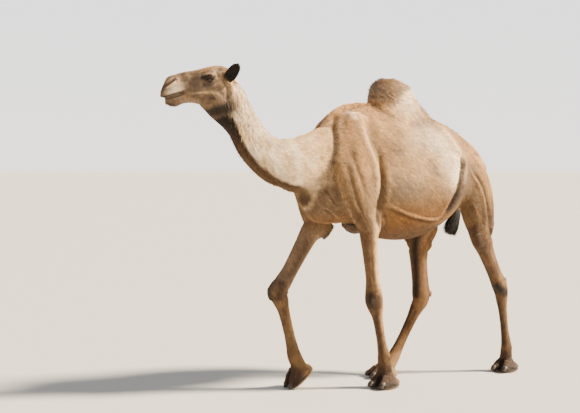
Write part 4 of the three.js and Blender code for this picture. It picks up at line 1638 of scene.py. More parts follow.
        def line(places: Sequence[tuple], width: float, tone: Tone, amount: float, fade: float = 0.2) -> None:
            """A soft line of a tone through places on this leg."""
            self.line(tone, Stroke(on_limb(leg, places), width, 0, both=False, fade=fade, depth=30), amount)

        if leg.kind is LegKind.FORE:
            line([(3.4, 60), (4.6, 62), (5.8, 64)], 34, Tone.BROWN, 0.7)
            line([(5.9, -92), (6.6, -90)], 34, Tone.SOOT, 0.8, 0.0)
            line([(9.9, 74), (10.6, 74), (11.8, 80)], 44, Tone.SOOT, 0.8, 0.0)
            line([(10.2, 20), (12.0, 25)], 36, Tone.UMBER, 0.8, 0.0)
            line([(12.2, 62), (13.6, 60), (15.6, 62)], 28, Tone.UMBER, 0.85)
            line([(10.0, 150), (11.8, 150)], 34, Tone.UMBER, 0.8, 0.0)
            line([(7.0, 180), (8.5, 180), (10.0, 180)], 30, Tone.UMBER, 0.6)
        else:
            line([(2.4, 40), (3.4, 45), (4.4, 50)], 60, Tone.TAN, 0.6)
            line([(4.0, 70), (4.7, 60), (5.6, 74)], 44, Tone.UMBER, 0.8, 0.0)
            line([(3.4, -20), (4.0, -25), (4.9, -32)], 20, Tone.UMBER, 0.75, 0.0)
            line([(4.6, 155), (6.0, 142), (7.6, 136), (9.0, 128), (10.4, 112)], 34, Tone.BLACK, 0.95, 0.1)
            line([(10.8, 104), (12.0, 98), (13.5, 92), (15.0, 90)], 20, Tone.SOOT, 0.9, 0.1)
            line([(6.0, -78), (7.4, -66), (8.6, -62), (9.6, -62)], 20, Tone.BLACK, 1.0, 0.1)
            line([(8.4, 70), (9.2, 40), (9.9, 5), (10.7, -25)], 30, Tone.BLACK, 1.0, 0.0)
            line([(9.4, -92), (10.3, -90)], 24, Tone.SOOT, 0.8, 0.0)
            line([(11.0, 170), (13.0, 170)], 14, Tone.SOOT, 0.7)
        foot = leg.foot_place.from_body(self.surface.vertices)
        near = smoothstep(190, 150, np.abs(foot).max(1)) * np.isin(self.names, leg.part_names)
        # darker front of each foot and lighter back: partly the dark hair of the toes, partly painted shade
        # on the fronts and painted light on the backs, which face the light
        self.mix(Tone.UMBER, near * smoothstep(60, -20, foot[:, 1]) * smoothstep(190, 120, foot[:, 2]) * 0.6)
        self.mix(Tone.FAWN, near * smoothstep(-20, 60, foot[:, 1]) * smoothstep(10, 40, foot[:, 2]) * 0.7)
        self.mix(Tone.SOOT, near * smoothstep(60, 26, foot[:, 2]) * smoothstep(60, -30, foot[:, 1]) * 0.85)
        self.mix(Tone.RIM, near * smoothstep(16, 11, foot[:, 2]) * (0.9 if leg.lift else 0.35))
        self.line(Tone.BLACK, Stroke(TOE_CLEFT, 10, 0, leg.foot_place, False), 0.85)

    def paint_head(self) -> None:
        """Greyish cheeks darkened before and below the eye by painted shadow of the brow, a pale muzzle whose
        front is partly darkened by painted shade, dark lips, nostrils and eye rims, a painted highlight along
        the jaw's edge with painted shadow under it, and a throat sooty with dark hair and painted shadow
        under the jaw.
        """
        hx, hy, hz = self.head.T
        face = smoothstep(30, -60, hy) * smoothstep(150, 120, np.abs(hx)) * smoothstep(-230, -180, hz)
        mottle = ripple(self.head, 24, (0, 1, 0.3), 1.6, 17)
        self.mix(Tone.FAWN, face * 0.95)
        self.mix(Tone.DUN, face * 0.55)
        self.mix(Tone.SAND, face * smoothstep(60, 110, hz) * smoothstep(-230, -150, hy) * 0.7)
        self.mix(Tone.BROWN, face * 0.3 * smoothstep(0.45, 0.85, mottle))
        for patch in (
            (Tone.SAND, (0, -90, 110), (90, 110, 40), 0.5),
            (Tone.CREAM, (50, -318, 44), (34, 40, 30), 0.4),
            (Tone.CREAM, (48, -340, 18), (34, 50, 20), 0.6),
            # grey before, above and below the eye: painted shadow of the brow over the cheek, on the face's
            # own greyish hair
            (Tone.GREY, (64, -216, 14), (38, 40, 66), 0.9),
            (Tone.GREY, (84, -150, -30), (40, 70, 30), 0.9),
            (Tone.GREY, (66, -180, 52), (34, 34, 36), 0.8),
            (Tone.BROWN, (84, -20, 20), (34, 30, 50), 0.6),
            (Tone.FAWN, (70, -180, -110), (40, 90, 34), 0.5),
            (Tone.BLACK, (15, -426, -2), (40, 28, 20), 1.0),
            # darker front of the muzzle: partly its own dark hair, partly painted shade on the face turned
            # from the light
            (Tone.UMBER, (28, -408, 52), (26, 26, 26), 0.8),
            (Tone.UMBER, (0, -428, 50), (40, 34, 40), 0.75),
            (Tone.UMBER, (20, -388, -62), (44, 46, 32), 0.9),
            (Tone.SAND, (54, -262, -34), (16, 22, 18), 0.6),
        ):
            self.patch(*patch, on_face=True)
        # sooty throat: partly dark throat hair, partly painted shadow under the jaw
        self.mix(Tone.SOOT, face * smoothstep(-118, -160, hz + 0.32 * (hy + 200) * (hy < -200)) * 0.9)
        for tone, line, width, amount in (
            (Tone.UMBER, shifted(MOUTH_LINE, (0, 0, 5)), 9, 0.6),
            (Tone.BLACK, MOUTH_LINE, 8, 0.95),
            (Tone.BLACK, NOSTRIL, 9, 1.0),
            (Tone.STRAW, shifted(NOSTRIL, (5, 3, -14)), 5, 0.6),
            (Tone.STRAW, ((40, -305, 70), (46, -300, 50), (46, -320, 38)), 12, 0.5),
            (Tone.UMBER, ((24, -418, 40), (34, -392, 62), (36, -372, 78)), 11, 0.75),
            # dark over and under the front of the eye: partly the eye's own dark rim, partly painted shadow
            # of the brow
            (Tone.UMBER, ((82, -168, 42), (90, -144, 48), (94, -120, 46), (94, -92, 32)), 13, 0.9),
            (Tone.BLACK, ((76, -170, 40), (86, -148, 42), (96, -128, 36)), 15, 0.95),
            (Tone.BLACK, ((88, -136, 6), (96, -122, -8), (97, -106, -14)), 15, 0.85),
            (Tone.CREAM, ((70, -60, 92), (84, -64, 66), (92, -62, 36)), 6, 0.5),
            (Tone.UMBER, ((66, -52, 88), (80, -56, 62), (90, -56, 40)), 8, 0.55),
            # painted highlight along the edge of the lower jaw
            (Tone.STRAW, ((60, -215, -44), (76, -168, -50), (88, -120, -62), (90, -75, -80)), 14, 0.45),
            # painted shadow under the jaw's edge
            (Tone.UMBER, ((50, -250, -58), (64, -205, -72), (80, -150, -86), (84, -110, -98)), 10, 0.6),
            (Tone.STRAW, ((90, -66, 0), (88, -34, -40), (82, -30, -100)), 18, 0.4),
            (Tone.SAND, ((46, -272, -14), (42, -284, -40), (32, -296, -66)), 5, 0.8),
            # painted shadow under the lower jaw
            (Tone.UMBER, ((10, -330, -76), (30, -280, -92), (46, -230, -112), (64, -180, -134)), 9, 0.6),
        ):
            self.line(tone, face_stroke(line, width, 0), amount)


# ------------------------------------------------------------ finishes
def add_node(tree: bpy.types.NodeTree, kind: str, settings: Optional[dict] = None, **links) -> bpy.types.Node:
    """Adds a node with its settings and input values or links.

    Args:
        tree: node tree of a material or world.
        kind: node type name without its ShaderNode prefix.
        settings: properties of the node itself.
        **links: for each input, by its name with _ for a space or its number after an n, a value or an
            output.

    Returns:
        The node.
    """
    node = tree.nodes.new(f"ShaderNode{kind}")
    for key, value in (settings or {}).items():
        setattr(node, key, value)
    for key, value in links.items():
        socket = node.inputs[int(key[1:]) if key[1:].isdigit() else key.replace("_", " ")]
        if isinstance(value, bpy.types.NodeSocket):
            tree.links.new(value, socket)
        else:
            socket.default_value = value
    return node


@dataclass(frozen=True)
class Finish:
    """A material's name and a way to make it."""

    name: str

    def start(self) -> tuple[bpy.types.Material, bpy.types.NodeTree]:
        """A new material and its tree, empty but for the output of its surface."""
        material = bpy.data.materials.new(self.name)
        material.use_nodes = True
        material.node_tree.nodes.clear()
        material.node_tree.nodes.new("ShaderNodeOutputMaterial")
        return material, material.node_tree

    def ended(self, material: bpy.types.Material, shader: bpy.types.Node) -> bpy.types.Material:
        """The material with a shader on its surface."""
        tree = material.node_tree
        tree.links.new(shader.outputs[0], tree.nodes[0].inputs["Surface"])
        return material


@dataclass(frozen=True)
class CoatFinish(Finish):
    """Short camel hair: the colour of the markings, with the painted light and shade among them, broken up by
    patches and single hairs, with a soft dry sheen.
    """

    name: str = "camel_hair"
    roughness: float = 0.72
    patch: float = 55.0  # mm from one soft patch to the next
    grain: float = 9.0  # mm between clumps of hair, coarser than single hairs so that it shows
    depth: float = 1.6  # mm of the bump between clumps

    def material(self) -> bpy.types.Material:
        """Builds the material."""
        material, tree = self.start()
        tint = add_node(tree, "Attribute", {"attribute_name": "coat_tint"})
        place = add_node(tree, "TexCoord")
        patches, grain = (
            add_node(
                tree, "TexNoise", Vector=place.outputs["Object"], Scale=1 / (size * MM), Detail=4.0,
                Roughness=0.6
            )
            for size in (self.patch, self.grain)
        )
        both = add_node(
            tree, "Math", {"operation": "ADD"}, n0=patches.outputs["Fac"], n1=grain.outputs["Fac"]
        )
        shade = add_node(
            tree, "MapRange", Value=both.outputs[0], From_Min=0.7, From_Max=1.3, To_Min=0.74, To_Max=1.26
        )
        colour = add_node(
            tree, "VectorMath", {"operation": "SCALE"}, n0=tint.outputs["Color"],
            Scale=shade.outputs["Result"]
        )
        bump = add_node(tree, "Bump", Height=grain.outputs["Fac"], Distance=self.depth * MM)
        shader = add_node(
            tree, "BsdfPrincipled", Base_Color=colour.outputs["Vector"], Normal=bump.outputs["Normal"]
        )
        for socket, value in (
            ("Roughness", self.roughness), ("Specular IOR Level", 0.22), ("Sheen Weight", 0.12)
        ):
            shader.inputs[socket].default_value = value
        return self.ended(material, shader)


@dataclass(frozen=True)
class EyeFinish(Finish):
    """A wet eye: deep brown under a clear, very smooth cornea, so that it holds one sharp highlight."""

    name: str = "cornea"

    def material(self) -> bpy.types.Material:
        """Builds the material."""
        material, tree = self.start()
        tint = add_node(tree, "Attribute", {"attribute_name": "eye_tint"})
        place = add_node(tree, "TexCoord")
        grain = add_node(tree, "TexNoise", Vector=place.outputs["Object"], Scale=900.0, Detail=3.0)
        shade = add_node(tree, "MapRange", Value=grain.outputs["Fac"], To_Min=0.75, To_Max=1.25)
        colour = add_node(
            tree, "VectorMath", {"operation": "SCALE"}, n0=tint.outputs["Color"],
            Scale=shade.outputs["Result"]
        )
        shader = add_node(tree, "BsdfPrincipled", Base_Color=colour.outputs["Vector"], Roughness=0.12)
        shader.inputs["Specular IOR Level"].default_value = 0.1
        shader.inputs["Coat Weight"].default_value = 0.75
        shader.inputs["Coat Roughness"].default_value = 0.02
        return self.ended(material, shader)


@dataclass(frozen=True)
class HornFinish(Finish):
    """Worn horn or callus: dusty, streaked or cracked at a real scale, and darker in its hollows."""

    name: str = "worn_horn"
    pale: str = "#7a6450"
    dark: str = "#33261e"
    streak: float = 4.0  # mm between streaks or cracks
    stretch: float = 0.25  # scale along Z against across
    roughness: float = 0.55
    depth: float = 0.5  # mm of the bump

    def material(self) -> bpy.types.Material:
        """Builds the material."""
        material, tree = self.start()
        place = add_node(tree, "TexCoord")
        spread = add_node(tree, "Mapping", Vector=place.outputs["Object"], Scale=(1.0, 1.0, self.stretch))
        scale = 1 / (self.streak * MM)
        streaks = add_node(
            tree, "TexNoise", Vector=spread.outputs["Vector"], Scale=scale, Detail=5.0, Roughness=0.6
        )
        dust = add_node(tree, "TexNoise", Vector=place.outputs["Object"], Scale=scale / 6, Detail=3.0)
        both = add_node(tree, "Math", {"operation": "ADD"}, n0=streaks.outputs["Fac"], n1=dust.outputs["Fac"])
        ramp = add_node(tree, "MapRange", Value=both.outputs[0], From_Min=0.75, From_Max=1.25)
        colour = add_node(
            tree, "MixRGB", Fac=ramp.outputs["Result"], Color1=(*to_linear(self.dark), 1),
            Color2=(*to_linear(self.pale), 1)
        )
        bump = add_node(tree, "Bump", Height=streaks.outputs["Fac"], Distance=self.depth * MM)
        shader = add_node(
            tree, "BsdfPrincipled", Base_Color=colour.outputs["Color"], Normal=bump.outputs["Normal"]
        )
        shader.inputs["Roughness"].default_value = self.roughness
        return self.ended(material, shader)


# ------------------------------------------------------------ coat
@dataclass(frozen=True)
class Pelt:
    """One piece of the coat: the parts that it grows on, on one side or both, and how many tufts it has."""

    name: str
    parts: tuple
    side: int
    tufts: int
    variety: float = 0.32  # how much the tint differs from clump to clump


PELTS = (
    Pelt("coat_head", ("skull", "jaw", "left_ear", "right_ear", "left_lid", "right_lid"), 0, 46000, 0.24),
    Pelt("coat_neck", ("neck",), 0, 46000, 0.18),
    Pelt("coat_hump", ("hump",), 0, 22000),
    Pelt("coat_left_side", ("trunk", "tail"), 1, 48000),
    Pelt("coat_right_side", ("trunk", "tail"), -1, 40000),
    *(
        Pelt(f"coat_{leg.name}_leg", leg.part_names, 0, count)
        for leg, count in zip(LEGS, (36000, 28000, 36000, 28000))
    ),
)


class Coat:
    """Short tufts over the whole skin, each a thin closed wedge that lies along the hair and thins to a
    tip.
    """

    PATCH = 0.003  # size of a tuft's patch on the unwrap
    SUNK = 0.7  # how deep the root of a tuft lies under the skin
    LOWEST = 2.0  # height over the floor of the lowest hair

    def __init__(self, hide: Hide) -> None:
        """Args: hide: the skin that the coat grows on."""
        self.hide = hide
        self.normals = hide.surface.normals()
        faces = hide.surface.faces
        corners = hide.surface.vertices[faces]
        self.areas = np.linalg.norm(
            np.cross(corners[:, 1] - corners[:, 0], corners[:, 2] - corners[:, 0]), axis=1
        ) / 2
        self.face_names = hide.names[faces[:, 0]]
        self.middle = corners.mean(1)
        self.length, self.rise = self.measures()

    def measures(self) -> tuple[np.ndarray, np.ndarray]:
        """Length of the tufts at each vertex, and the share of it by which the tip stands off the skin."""
        points, names = self.hide.surface.vertices, self.hide.names
        z = points[:, 2]
        head = HEAD.from_body(points)
        length = np.full(len(points), 25.0)
        rise = np.full(len(points), 0.09)
        legs = np.char.find(names, "_fore") + np.char.find(names, "_hind") > -2
        on_head = np.isin(names, PELTS[0].parts)
        length = np.where(legs, np.interp(z, [60, 200, 900, 1400], [7, 10, 14, 24]), length)
        length = np.where(on_head, np.interp(head[:, 1], [-420, -200, 0], [5.5, 7.5, 13]), length)
        length = np.where(names == "neck", np.interp(head[:, 2], [-500, -150], [18, 13]), length)
        crest = np.isin(names, ["hump", "trunk"]) * smoothstep(1830, 1990, z)
        length = length + 16 * crest
        rise = rise + 0.16 * crest
        throat = np.isin(
            names, ["neck", "jaw"]
        ) * smoothstep(-20, 30, head[:, 1]) * smoothstep(-60, -120, head[:, 2])
        return length + 8 * throat, rise + 0.1 * throat

    def pieces(self) -> list[bpy.types.Object]:
        """Every piece of short coat."""
        return [self.piece(pelt, np.random.default_rng(SEED + number)) for number, pelt in enumerate(PELTS)]

    def sample(
        self, weights: np.ndarray, count: int, rng: np.random.Generator
    ) -> tuple[np.ndarray, np.ndarray]:
        """Random places on the skin: the face of each, and its shares of the face's corners."""
        total = np.cumsum(weights)
        face = np.searchsorted(total, (np.arange(count) + rng.random(count)) / count * total[-1])
        u, v = rng.random((2, count))
        over = u + v > 1
        u, v = np.where(over, 1 - u, u), np.where(over, 1 - v, v)
        return np.minimum(face, len(weights) - 1), np.stack([1 - u - v, u, v], axis=1)

    def at(self, values: np.ndarray, face: np.ndarray, shares: np.ndarray) -> np.ndarray:
        """Values at the vertices taken at places on faces."""
        corners = values[self.hide.surface.faces[face]]
        return (corners * shares.reshape(*shares.shape, *(1,) * (corners.ndim - 2))).sum(1)

    def unwrap(self, face: np.ndarray, shares: np.ndarray, names: Sequence[str], side: int) -> np.ndarray:
        """Each place on a flat unwrap of the skin: one strip per part, its length by its height round the
        ring.
        """
        vertices = self.hide.surface.faces[face]
        first = vertices[:, :1]
        same = self.hide.names[vertices] == self.hide.names[first]
        t = np.where(same, self.hide.t[vertices], self.hide.t[first])
        turn = self.hide.angle[vertices] - self.hide.angle[first]
        turn = np.where(same, (turn + np.pi) % (2 * np.pi) - np.pi, 0)
        along = (t * shares).sum(1)
        angle = self.hide.angle[first[:, 0]] + (turn * shares).sum(1)
        if side:
            angle = angle if side > 0 else np.pi - angle
            around = ((angle + np.pi) % (2 * np.pi) - np.pi) / np.pi + 0.5
        else:
            around = (angle / (2 * np.pi)) % 1
        own = self.hide.names[first[:, 0]]
        sizes = np.array([max((own == name).mean(), 0.05) for name in names])
        sizes /= sizes.sum()
        base = np.concatenate([[0], np.cumsum(sizes)[:-1]])
        strip = np.array([list(names).index(name) for name in own])
        high = base[strip] + sizes[strip] * (0.02 + 0.96 * np.clip(around, 0, 1))
        return np.stack([0.01 + 0.98 * along, np.clip(high, 0.004, 0.996)], axis=1)

    def piece(self, pelt: Pelt, rng: np.random.Generator) -> bpy.types.Object:
        """One piece of the coat.

        A tuft is a wedge of four triangles: two corners sunk at its root, a ridge point a quarter of the
        way along and a tip that stands off the skin by its rise.
        """
        inside = np.isin(self.face_names, pelt.parts) & (self.middle[:, 0] * pelt.side >= 0)
        bare = self.hide.bare[self.hide.surface.faces].mean(1)
        size = self.length[self.hide.surface.faces].mean(1)
        weights = self.areas / size**1.7 * np.where(inside, 1.0, 0.0) * (1 - bare)
        face, shares = self.sample(weights, pelt.tufts, rng)
        root = self.at(self.hide.surface.vertices, face, shares)
        normal = unit(self.at(self.normals, face, shares))
        lie = self.at(self.hide.lie, face, shares)
        lie = lie + 0.28 * (ripple(root, 60, (0, 0, 1), 1, 41)[:, None] - 0.5) * np.cross(normal, lie)
        lie = lie + rng.normal(0, 0.13, (pelt.tufts, 1)) * np.cross(normal, lie)
        lie = unit(lie - normal * (lie * normal).sum(1, keepdims=True))
        length = self.at(self.length, face, shares) * rng.uniform(0.75, 1.25, pelt.tufts)
        width = 0.8 + 0.19 * length
        rise = length * self.at(self.rise, face, shares) * rng.uniform(0.6, 1.4, pelt.tufts)
        beside = np.cross(normal, lie) * (width / 2)[:, None]
        sunk = root - normal * self.SUNK
        ridge = root + lie * (0.25 * length)[:, None] + normal * (0.3 * rise + 0.05 * width + 0.15)[:, None]
        tip = root + lie * length[:, None] + normal * rise[:, None]
        vertices = np.stack([sunk - beside, sunk + beside, ridge, tip], axis=1).reshape(-1, 3)
        vertices[:, 2] = np.maximum(vertices[:, 2], self.LOWEST)
        corner = np.array([[0, 3, 2], [1, 2, 3], [0, 2, 1], [0, 1, 3]])
        faces = (np.arange(pelt.tufts)[:, None, None] * 4 + corner).reshape(-1, 3)
        tint = self.at(self.hide.tint, face, shares)
        clump = ripple(root, 26, (0, 0.55, -0.83), 3, 42) + ripple(root, 11, (0, 0.55, -0.83), 2.5, 43) - 1
        tint = tint * np.exp(pelt.variety * (clump[:, None] + rng.normal(0, 0.6, (pelt.tufts, 1))))
        tint = tint * (1 + rng.normal(0, 0.03, (pelt.tufts, 3)))
        tint = tint[:, None] * np.array([0.72, 0.72, 1.0, 1.1])[None, :, None]
        place = self.unwrap(face, shares, pelt.parts, pelt.side)
        spots = np.array([[0, 0], [1, 0], [0.5, 0.4], [0.5, 1]]) - 0.5
        patch = spots[corner]
        patch[3] = np.array([[0, 0], [0.05, 0], [0, 0.05]]) - 0.5
        uv = (place[:, None, None] + patch[None] * self.PATCH).reshape(-1, 2)
        return coat_object(pelt.name, vertices, faces, np.clip(tint.reshape(-1, 3), DARKEST, 1), uv, False)


def coat_object(
    name: str, vertices: np.ndarray, faces: np.ndarray, tint: np.ndarray, uv: np.ndarray, smooth: bool
) -> bpy.types.Object:
    """A piece of coat with its colours and its own unwrap, riding on the body.

    Args:
        name: name of the piece.
        vertices: (n, 3) body millimetres.
        faces: (m, 3) vertex numbers.
        tint: (n, 3) linear colours.
        uv: (3 m, 2) places of the corners on the unwrap.
        smooth: whether it is shaded smooth.

    Returns:
        The object.
    """
    obj = mesh_object(name, to_model(vertices), faces, smooth)
    set_attribute(obj.data, "coat_tint", tint)
    layer = obj.data.uv_layers.new(name="OFBake")
    layer.data.foreach_set("uv", np.ascontiguousarray(np.clip(uv, 0.001, 0.999), np.float32).ravel())
    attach(obj, "root")
    log.info("%s: %d triangles", name, len(faces))
    return obj


@dataclass
class Locks:
    """Long hair as curved tapering prisms of sixteen triangles.

    A lock's middle at share s of its length is root + along * length * s + outward * lift * sin(s * 90
    degrees) - up * droop * s^2.
    """

    root: np.ndarray
    outward: np.ndarray
    along: np.ndarray
    length: np.ndarray
    width: np.ndarray
    lift: np.ndarray
    droop: np.ndarray
    tint: np.ndarray

    SHARES = np.array([0.0, 0.42, 0.78, 1.0])
    WIDTHS = np.array([0.75, 1.0, 0.62, 0.0])

    def arrays(self) -> tuple[np.ndarray, np.ndarray, np.ndarray]:
        """Vertices, triangles and colours."""
        count = len(self.root)
        along = unit(self.along - self.outward * (self.along * self.outward).sum(1, keepdims=True) * 0.5)
        middle = np.stack(
            [
                self.root
                + along * (self.length * s)[:, None]
                + self.outward * (self.lift * math.sin(s * math.pi / 2))[:, None]
                - UP * (self.droop * s * s)[:, None]
                for s in self.SHARES
            ],
            axis=1,
        )
        beside = unit(np.cross(along, self.outward))[:, None] * (
            self.width[:, None] * self.WIDTHS[:3] / 2
        )[..., None]
        over = self.outward[:, None] * (self.width[:, None] * self.WIDTHS[:3] * 0.5)[..., None]
        rings = middle[:, :3]
        rings = np.stack([rings + beside, rings - beside, rings + over], axis=2).reshape(count, 9, 3)
        vertices = np.concatenate([rings, middle[:, 3:]], axis=1)
        faces = [(0, 2, 1)]
        for ring in (0, 3):
            for k in range(3):
                a, b = ring + k, ring + (k + 1) % 3
                faces += [(a, b + 3, a + 3), (a, b, b + 3)]
        faces += [(6 + k, 6 + (k + 1) % 3, 9) for k in range(3)]
        every = (np.arange(count)[:, None, None] * 10 + np.array(faces)).reshape(-1, 3)
        shade = np.array([0.7] * 3 + [0.95] * 3 + [1.08] * 3 + [1.15])
        tint = (self.tint[:, None] * shade[None, :, None]).reshape(-1, 3)
        return vertices.reshape(-1, 3), every, np.clip(tint, DARKEST, 1)


@dataclass(frozen=True)
class Mane:
    """A patch of long hair: where it grows, how many locks it has, and how they hang."""

    parts: tuple
    centre: tuple
    reach: tuple
    locks: int
    length: float
    lift: float = 0.35  # share of the length by which it stands off
    droop: float = 0.15
    width: float = 3.2
    on_face: bool = False
    tone: Optional[Tone] = None


MANES = (
    Mane(("hump",), (0, 262, 2010), (110, 80, 90), 2400, 56, 0.5, 0.3, 4.4, False, Tone.GREY),
    Mane(("hump",), (0, 360, 2060), (130, 150, 60), 1800, 46, 0.5, 0.1, 4.4, False, Tone.BROWN),
    Mane(("hump", "trunk"), (0, 190, 1900), (60, 60, 70), 500, 40, 0.45, 0.2, 4.0),
    Mane(("hump", "trunk"), (0, 640, 1800), (60, 300, 120), 500, 30, 0.3, 0.1, 3.6),
    Mane(("trunk", "neck"), (0, 40, 1840), (70, 130, 50), 500, 30, 0.3, 0.1, 3.6),
    Mane(("neck",), (-110, -640, 1790), (60, 130, 200), 700, 34, 0.4, 0.1, 3.0),
    Mane(("neck", "jaw"), (0, 20, -185), (60, 80, 70), 1500, 46, 0.2, 0.45, 3.4, True),
    Mane(("neck",), (20, -560, 1350), (60, 160, 60), 500, 26, 0.2, 0.3, 3.2),
    Mane(("trunk",), (0, -260, 1150), (100, 80, 70), 500, 30, 0.2, 0.3, 3.4),
    Mane(("left_ear", "right_ear"), (90, 40, 24), (60, 60, 60), 900, 14, 0.3, 0.0, 1.6, True, Tone.SOOT),
    Mane(("jaw",), (0, -380, -50), (40, 40, 20), 160, 16, 0.4, 0.2, 1.2, True),
)


def grow_manes(coat: Coat) -> bpy.types.Object:
    """Every patch of long hair as one piece."""
    hide, rng = coat.hide, np.random.default_rng(SEED + 50)
    vertices, faces, tints, uvs = [], [], [], []
    names = sorted({name for mane in MANES for name in mane.parts})
    for mane in MANES:
        middle = HEAD.from_body(coat.middle) if mane.on_face else coat.middle
        if mane.on_face and mane.centre[0]:
            middle = folded(middle)
        away = (((middle - mane.centre) / mane.reach) ** 2).sum(1)
        weights = coat.areas * np.exp(-away) * np.isin(coat.face_names, mane.parts) * (away < 4)
        face, shares = coat.sample(weights, mane.locks, rng)
        root = coat.at(hide.surface.vertices, face, shares)
        normal = unit(coat.at(coat.normals, face, shares))
        lie = unit(coat.at(hide.lie, face, shares) + rng.normal(0, 0.16, (mane.locks, 3)))
        length = mane.length * rng.uniform(0.55, 1.2, mane.locks)
        tint = coat.at(hide.tint, face, shares)
        if mane.tone:
            tint = tint + (mane.tone.linear - tint) * 0.5
        tint = tint * (1 + rng.normal(0, 0.14, (mane.locks, 1)))
        width = mane.width * rng.uniform(0.7, 1.2, mane.locks)
        locks = Locks(
            root - normal, normal, lie, length, width, length * mane.lift, length * mane.droop, tint
        )
        made, triangles, colours = locks.arrays()
        faces.append(triangles + sum(map(len, vertices)))
        vertices.append(made)
        tints.append(colours)
        place = coat.unwrap(face, shares, names, 0)
        corner = np.tile(np.array([[0.0, 0.0], [1.0, 0.0], [0.5, 0.0]]), (3, 1))
        corner[:, 1] = np.repeat(Locks.SHARES[:3], 3)
        corner = np.vstack([corner, [[0.5, 1.0]]]) - 0.5
        uvs.append((place[:, None, None] + corner[triangles[:16]][None] * Coat.PATCH).reshape(-1, 2))
    return coat_object("long_hair", *(np.vstack(part) for part in (vertices, faces, tints, uvs)), True)


# ------------------------------------------------------------ studio
@dataclass(frozen=True)
class Studio:
    """Pale floor, lights and the camera, in the model's frame."""

    camera_at: tuple = (5.920, -4.680, 1.415)
    heading: float = 54.97  # degrees from +Y to the way the camera looks, anticlockwise from above
    pitch: float = 1.838  # degrees below level
    focal_share: float = 1144 / 580  # focal length over the width of the picture
    sensor: float = 36.0
    horizon: str = "#fffaf4"  # the backdrop where it meets the floor, as light as the floor is there
    zenith: str = "#e6ecf5"
    sky: float = 0.65  # light from all round
    backdrop: float = 2.3  # how light the backdrop looks
    floor_radius: float = 900.0  # metres, so that its edge lies at the horizon
    floor_sides: int = 96

    def build(self) -> None:
        """Makes floor, lights, sky and camera."""
        self.camera()
        self.floor()
        self.lights()

    def camera(self) -> None:
        """The camera, level but for its pitch."""
        data = bpy.data.cameras.new("camera")
        data.sensor_width = self.sensor
        data.lens = self.sensor * self.focal_share
        camera = bpy.data.objects.new("camera", data)
        camera.location = self.camera_at
        camera.rotation_euler = (math.radians(90 - self.pitch), 0, math.radians(self.heading))
        bpy.context.scene.collection.objects.link(camera)
        bpy.context.scene.camera = camera

    def floor(self) -> None:
        """A wide flat disc of pale paint."""
        sides = self.floor_sides
        angle = np.linspace(0, 2 * np.pi, sides, endpoint=False)
        rim = np.stack([np.cos(angle), np.sin(angle), np.zeros(sides)], axis=1) * self.floor_radius
        k = np.arange(sides)
        faces = np.stack([np.full(sides, sides), k, (k + 1) % sides], axis=1)
        floor = mesh_object("floor", np.vstack([rim, np.zeros((1, 3))]), faces)
        floor.data.materials.append(PaintFinish().material())

    def lights(self) -> None:
        """A strong key light from behind and above on the left, a broad fill and back light, and a pale
        sky.
        """
        for name, towards, spread, power, tone in (
            ("key", (0.45, 0.63, 0.63), 9, 21.5, "#ffedd2"),
            ("fill", (0.8, -1.0, 0.3), 50, 0.35, "#eef3ff"),
            ("back", (-0.8, 0.5, 0.6), 40, 0.5, "#fff6ea"),
        ):
            data = bpy.data.lights.new(name, "SUN")
            data.angle, data.energy, data.color = math.radians(spread), power, to_linear(tone)
            light = bpy.data.objects.new(name, data)
            light.rotation_euler = Vector(towards).to_track_quat("Z", "Y").to_euler()
            bpy.context.scene.collection.objects.link(light)
        world = bpy.data.worlds.new("studio")
        world.use_nodes = True
        tree = world.node_tree
        place = add_node(tree, "TexCoord")
        split = add_node(tree, "SeparateXYZ", Vector=place.outputs["Generated"])
        rise = add_node(tree, "MapRange", Value=split.outputs["Z"], From_Min=0.0, From_Max=0.35)
        low, high = ((*to_linear(code), 1) for code in (self.horizon, self.zenith))
        colour = add_node(tree, "MixRGB", Fac=rise.outputs["Result"], Color1=low, Color2=high)
        seen = add_node(tree, "LightPath")
        power = add_node(
            tree, "MapRange", Value=seen.outputs["Is Camera Ray"], To_Min=self.sky, To_Max=self.backdrop
        )
        sky = tree.nodes["Background"]
        tree.links.new(colour.outputs["Color"], sky.inputs["Color"])
        tree.links.new(power.outputs["Result"], sky.inputs["Strength"])
        bpy.context.scene.world = world


@dataclass(frozen=True)
class PaintFinish(Finish):
    """Matt pale floor paint, even all over."""

    name: str = "matt_paint"
    colour: str = "#b9b6b0"

    def material(self) -> bpy.types.Material:
        """Builds the material."""
        material, tree = self.start()
        shader = add_node(tree, "BsdfPrincipled", Base_Color=(*to_linear(self.colour), 1), Roughness=0.8)
        return self.ended(material, shader)


def add_piece(name: str, surface: Surface, slot: str, finish: Finish, *nodes: str) -> bpy.types.Object:
    """A smooth piece on the body that stands for CAD nodes."""
    obj = mesh_object(name, to_model(surface.vertices), surface.faces)
    obj.data.materials.append(finish.material())
    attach(obj, "root")
    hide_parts(*nodes)
    log.info("%s: %d triangles", name, len(surface.faces))
    return obj


